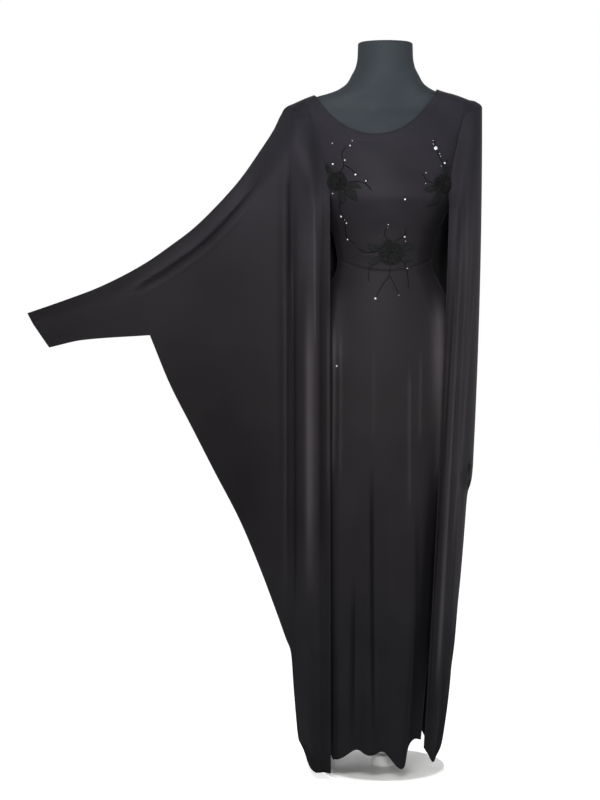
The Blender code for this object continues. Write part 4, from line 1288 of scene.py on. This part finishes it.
def knit_bump(tree):
    """Fine wales and courses by the cut's own measures, and the step of a turned hem."""
    cut = add_node(tree, "UVMap", "UV", uv_map="cut")
    wales, courses = (
        add_node(tree, "TexWave", "Fac", {"Vector": cut, "Scale": scale, "Distortion": wander},
                 bands_direction=way)
        for way, scale, wander in KNIT
    )
    both = {0: wales, 1: WALE_SHARE, 2: courses}
    knit = add_node(tree, "Math", "Value", both, operation="MULTIPLY_ADD")
    bump = {"Height": knit, "Strength": 0.10, "Distance": 0.0004}
    stitches = add_node(tree, "Bump", "Normal", bump)
    hem = add_node(tree, "Attribute", "Fac", attribute_name="hem")
    turned = map_range(tree, hem, *HEM_TURN, 1, 0, "SMOOTHSTEP")
    step = {"Height": turned, "Strength": 0.8, "Distance": 0.0007, "Normal": stitches}
    return add_node(tree, "Bump", "Normal", step)


def jersey_cloth():
    """Black knitted jersey: mottled, with painted highlights and painted shade along its creases,
    and painted light by height that darkens it low down and makes it bluer on the chest.
    """
    made, tree, shader = new_material("black jersey knit", (0.012, 0.011, 0.014), 0.5)
    place = add_node(tree, "TexCoord", "Object")
    height = add_node(tree, "SeparateXYZ", "Z", {"Vector": place})
    clouds = add_noise(tree, place, 9.0, 4.0)
    # Painted light by height: darker and warmer towards the hem as painted shade, bluer on the
    # chest as painted cool light
    rising = map_range(tree, height, 0, HEIGHT_SHOWN, 0, 1)
    painted_height_tones = add_ramp(tree, rising, [(z / HEIGHT_SHOWN, *tone) for z, *tone in PAINTED_HEIGHT_TONES])
    both = {0: add_ramp(tree, clouds, JERSEY), 1: painted_height_tones}
    mottled_and_painted = add_node(tree, "VectorMath", "Vector", both, operation="MULTIPLY")
    # Painted highlights and painted shade along the creases scale the colour
    painted_light = add_node(tree, "Attribute", "Fac", attribute_name="painted_light")
    painted_lighter = add_node(tree, "Math", "Value", {0: PAINTED_LIGHT_BASE, 1: painted_light}, operation="POWER")
    painted_lighting = {"Vector": mottled_and_painted, "Scale": painted_lighter}
    feed(tree, shader, {
        "Base Color": add_node(tree, "VectorMath", "Vector", painted_lighting, operation="SCALE"),
        "Normal": knit_bump(tree),
        "Specular IOR Level": map_range(tree, height, *GLOSS),
        "Roughness": map_range(tree, clouds, *ROUGHNESS),
        "IOR": 1.30,
        "Sheen Weight": 0.02,
        "Sheen Roughness": 0.40,
        "Sheen Tint": (0.80, 0.74, 0.92, 1),
    })
    return made


def noisy_material(name, low, high, scale, roughness, bump_scale, bump_height, gloss):
    """Two close tones in soft clouds, with a fine bump."""
    made, tree, shader = new_material(name, high, roughness)
    place = add_node(tree, "TexCoord", "Object")
    clouds, fine = add_noise(tree, place, scale, 3.0), add_noise(tree, place, bump_scale, 2.0)
    bump = {"Height": fine, "Strength": 0.25, "Distance": bump_height}
    feed(tree, shader, {
        "Base Color": add_ramp(tree, clouds, [(CLOUD_ENDS[0], *low), (CLOUD_ENDS[1], *high)]),
        "Normal": add_node(tree, "Bump", "Normal", bump),
        "Specular IOR Level": gloss,
    })
    return made


def bead_material(name, colour, metal):
    """Cut glass with a mirror back: its tone shifts a little from bead to bead."""
    made, tree, shader = new_material(name, colour, GLASS_ROUGHNESS)
    spots = add_noise(tree, add_node(tree, "TexCoord", "Object"), GLASS_SPOTS, 2.0)
    dark = [GLASS_DARK * part for part in colour]
    tint = add_ramp(tree, spots, [(0, *dark), (1, *colour)])
    feed(tree, shader, {"Base Color": tint, "Metallic": metal})
    return made


def floor_paper():
    """White paper near the form that fades outwards to the room's own brightness in each
    direction, so that no horizon shows."""
    paper, tree, shader = new_material("pale studio paper", (FLOOR_WHITE,) * 3, 0.9)
    place = add_node(tree, "TexCoord", "Object")
    behind = add_node(tree, "SeparateXYZ", "Y", {"Vector": place})
    away = add_node(tree, "VectorMath", "Value", {0: place}, operation="LENGTH")
    towards = add_node(tree, "Math", "Value", {0: behind, 1: away}, operation="DIVIDE")
    room = map_range(tree, towards, *ROOM, "SMOOTHSTEP")
    far = map_range(tree, away, *FLOOR_FADE, 0, 1, "SMOOTHSTEP")
    glow = add_node(tree, "Mix", "Result", {"Factor": far, "A": FLOOR_GLOW, "B": room})
    feed(tree, shader, {
        "Base Color": map_range(tree, away, *FLOOR_FADE, FLOOR_WHITE, 0, "SMOOTHSTEP"),
        "Specular IOR Level": 0,
        "Emission Color": (1, 1, 1, 1),
        "Emission Strength": glow,
    })
    return paper


def make_floor():
    """A round sheet of paper under the form."""
    turn = np.linspace(0, 2 * np.pi, FLOOR_SIDES, endpoint=False)
    rim = np.stack([FLOOR_RADIUS * np.cos(turn), FLOOR_RADIUS * np.sin(turn), 0 * turn], axis=1)
    mesh = bpy.data.meshes.new("studio_floor")
    mesh.from_pydata(rim.tolist(), [], [list(range(FLOOR_SIDES))])
    mesh.materials.append(floor_paper())
    add_object("studio_floor", mesh)


def make_room():
    """A room that is white behind the form and dim in front of it."""
    world = bpy.data.worlds.new("studio")
    bpy.context.scene.world = world
    world.use_nodes = True
    tree = world.node_tree
    way = add_node(tree, "TexCoord", "Generated")
    behind = add_node(tree, "SeparateXYZ", "Y", {"Vector": way})
    bright = map_range(tree, behind, *ROOM, "SMOOTHSTEP")
    feed(tree, tree.nodes["Background"], {"Color": (1, 1, 1, 1), "Strength": bright})


def aim(place, target):
    """The turn of a lamp or a camera at place that looks at target."""
    return (Vector(target) - Vector(place)).to_track_quat("-Z", "Y").to_euler()


def add_light(name, place, target, size, power, degrees):
    """A soft box with a grid over it, which narrows its beam to so many degrees."""
    lamp = bpy.data.lights.new(name, "AREA")
    lamp.shape = "RECTANGLE"
    lamp.size, lamp.size_y = size
    lamp.energy, lamp.spread = power, np.radians(degrees)
    thing = add_object(name, lamp)
    thing.location, thing.rotation_euler = place, aim(place, target)
    thing.visible_camera = False


def add_camera():
    """The camera, at the photo's viewing angle."""
    camera = add_object("camera", bpy.data.cameras.new("camera"))
    camera.location, camera.rotation_euler = CAMERA_PLACE, aim(CAMERA_PLACE, CAMERA_TARGET)
    camera.data.sensor_fit = "VERTICAL"
    camera.data.sensor_height, camera.data.lens = SENSOR, LENS
    bpy.context.scene.camera = camera
    bpy.context.scene.view_settings.view_transform = "Standard"


def main():
    """Makes the form, the stand, the kaftan and what is sewn on it, and then the studio."""
    jersey = jersey_cloth()
    cover, paint, flower_cloth, leaf_cloth, thread = (noisy_material(*row) for row in FINISHES)
    add_form(cover)
    add_turned("stand_base", BASE_PROFILE, paint)
    add_turned("stand_pole", POLE_PROFILE, paint)
    sheets, surface = make_kaftan(jersey)
    trims = [add_flower(surface, row, flower_cloth) for row in FLOWERS]
    trims.append(add_leaves(surface, leaf_cloth))
    trims.append(add_stems(surface, thread))
    for name, table, *glass in BEAD_KINDS:
        trims.append(add_beads(name, surface, table, bead_material(*glass)))
    make_floor()
    make_room()
    for row in LIGHTS:
        add_light(*row)
    add_camera()


main()
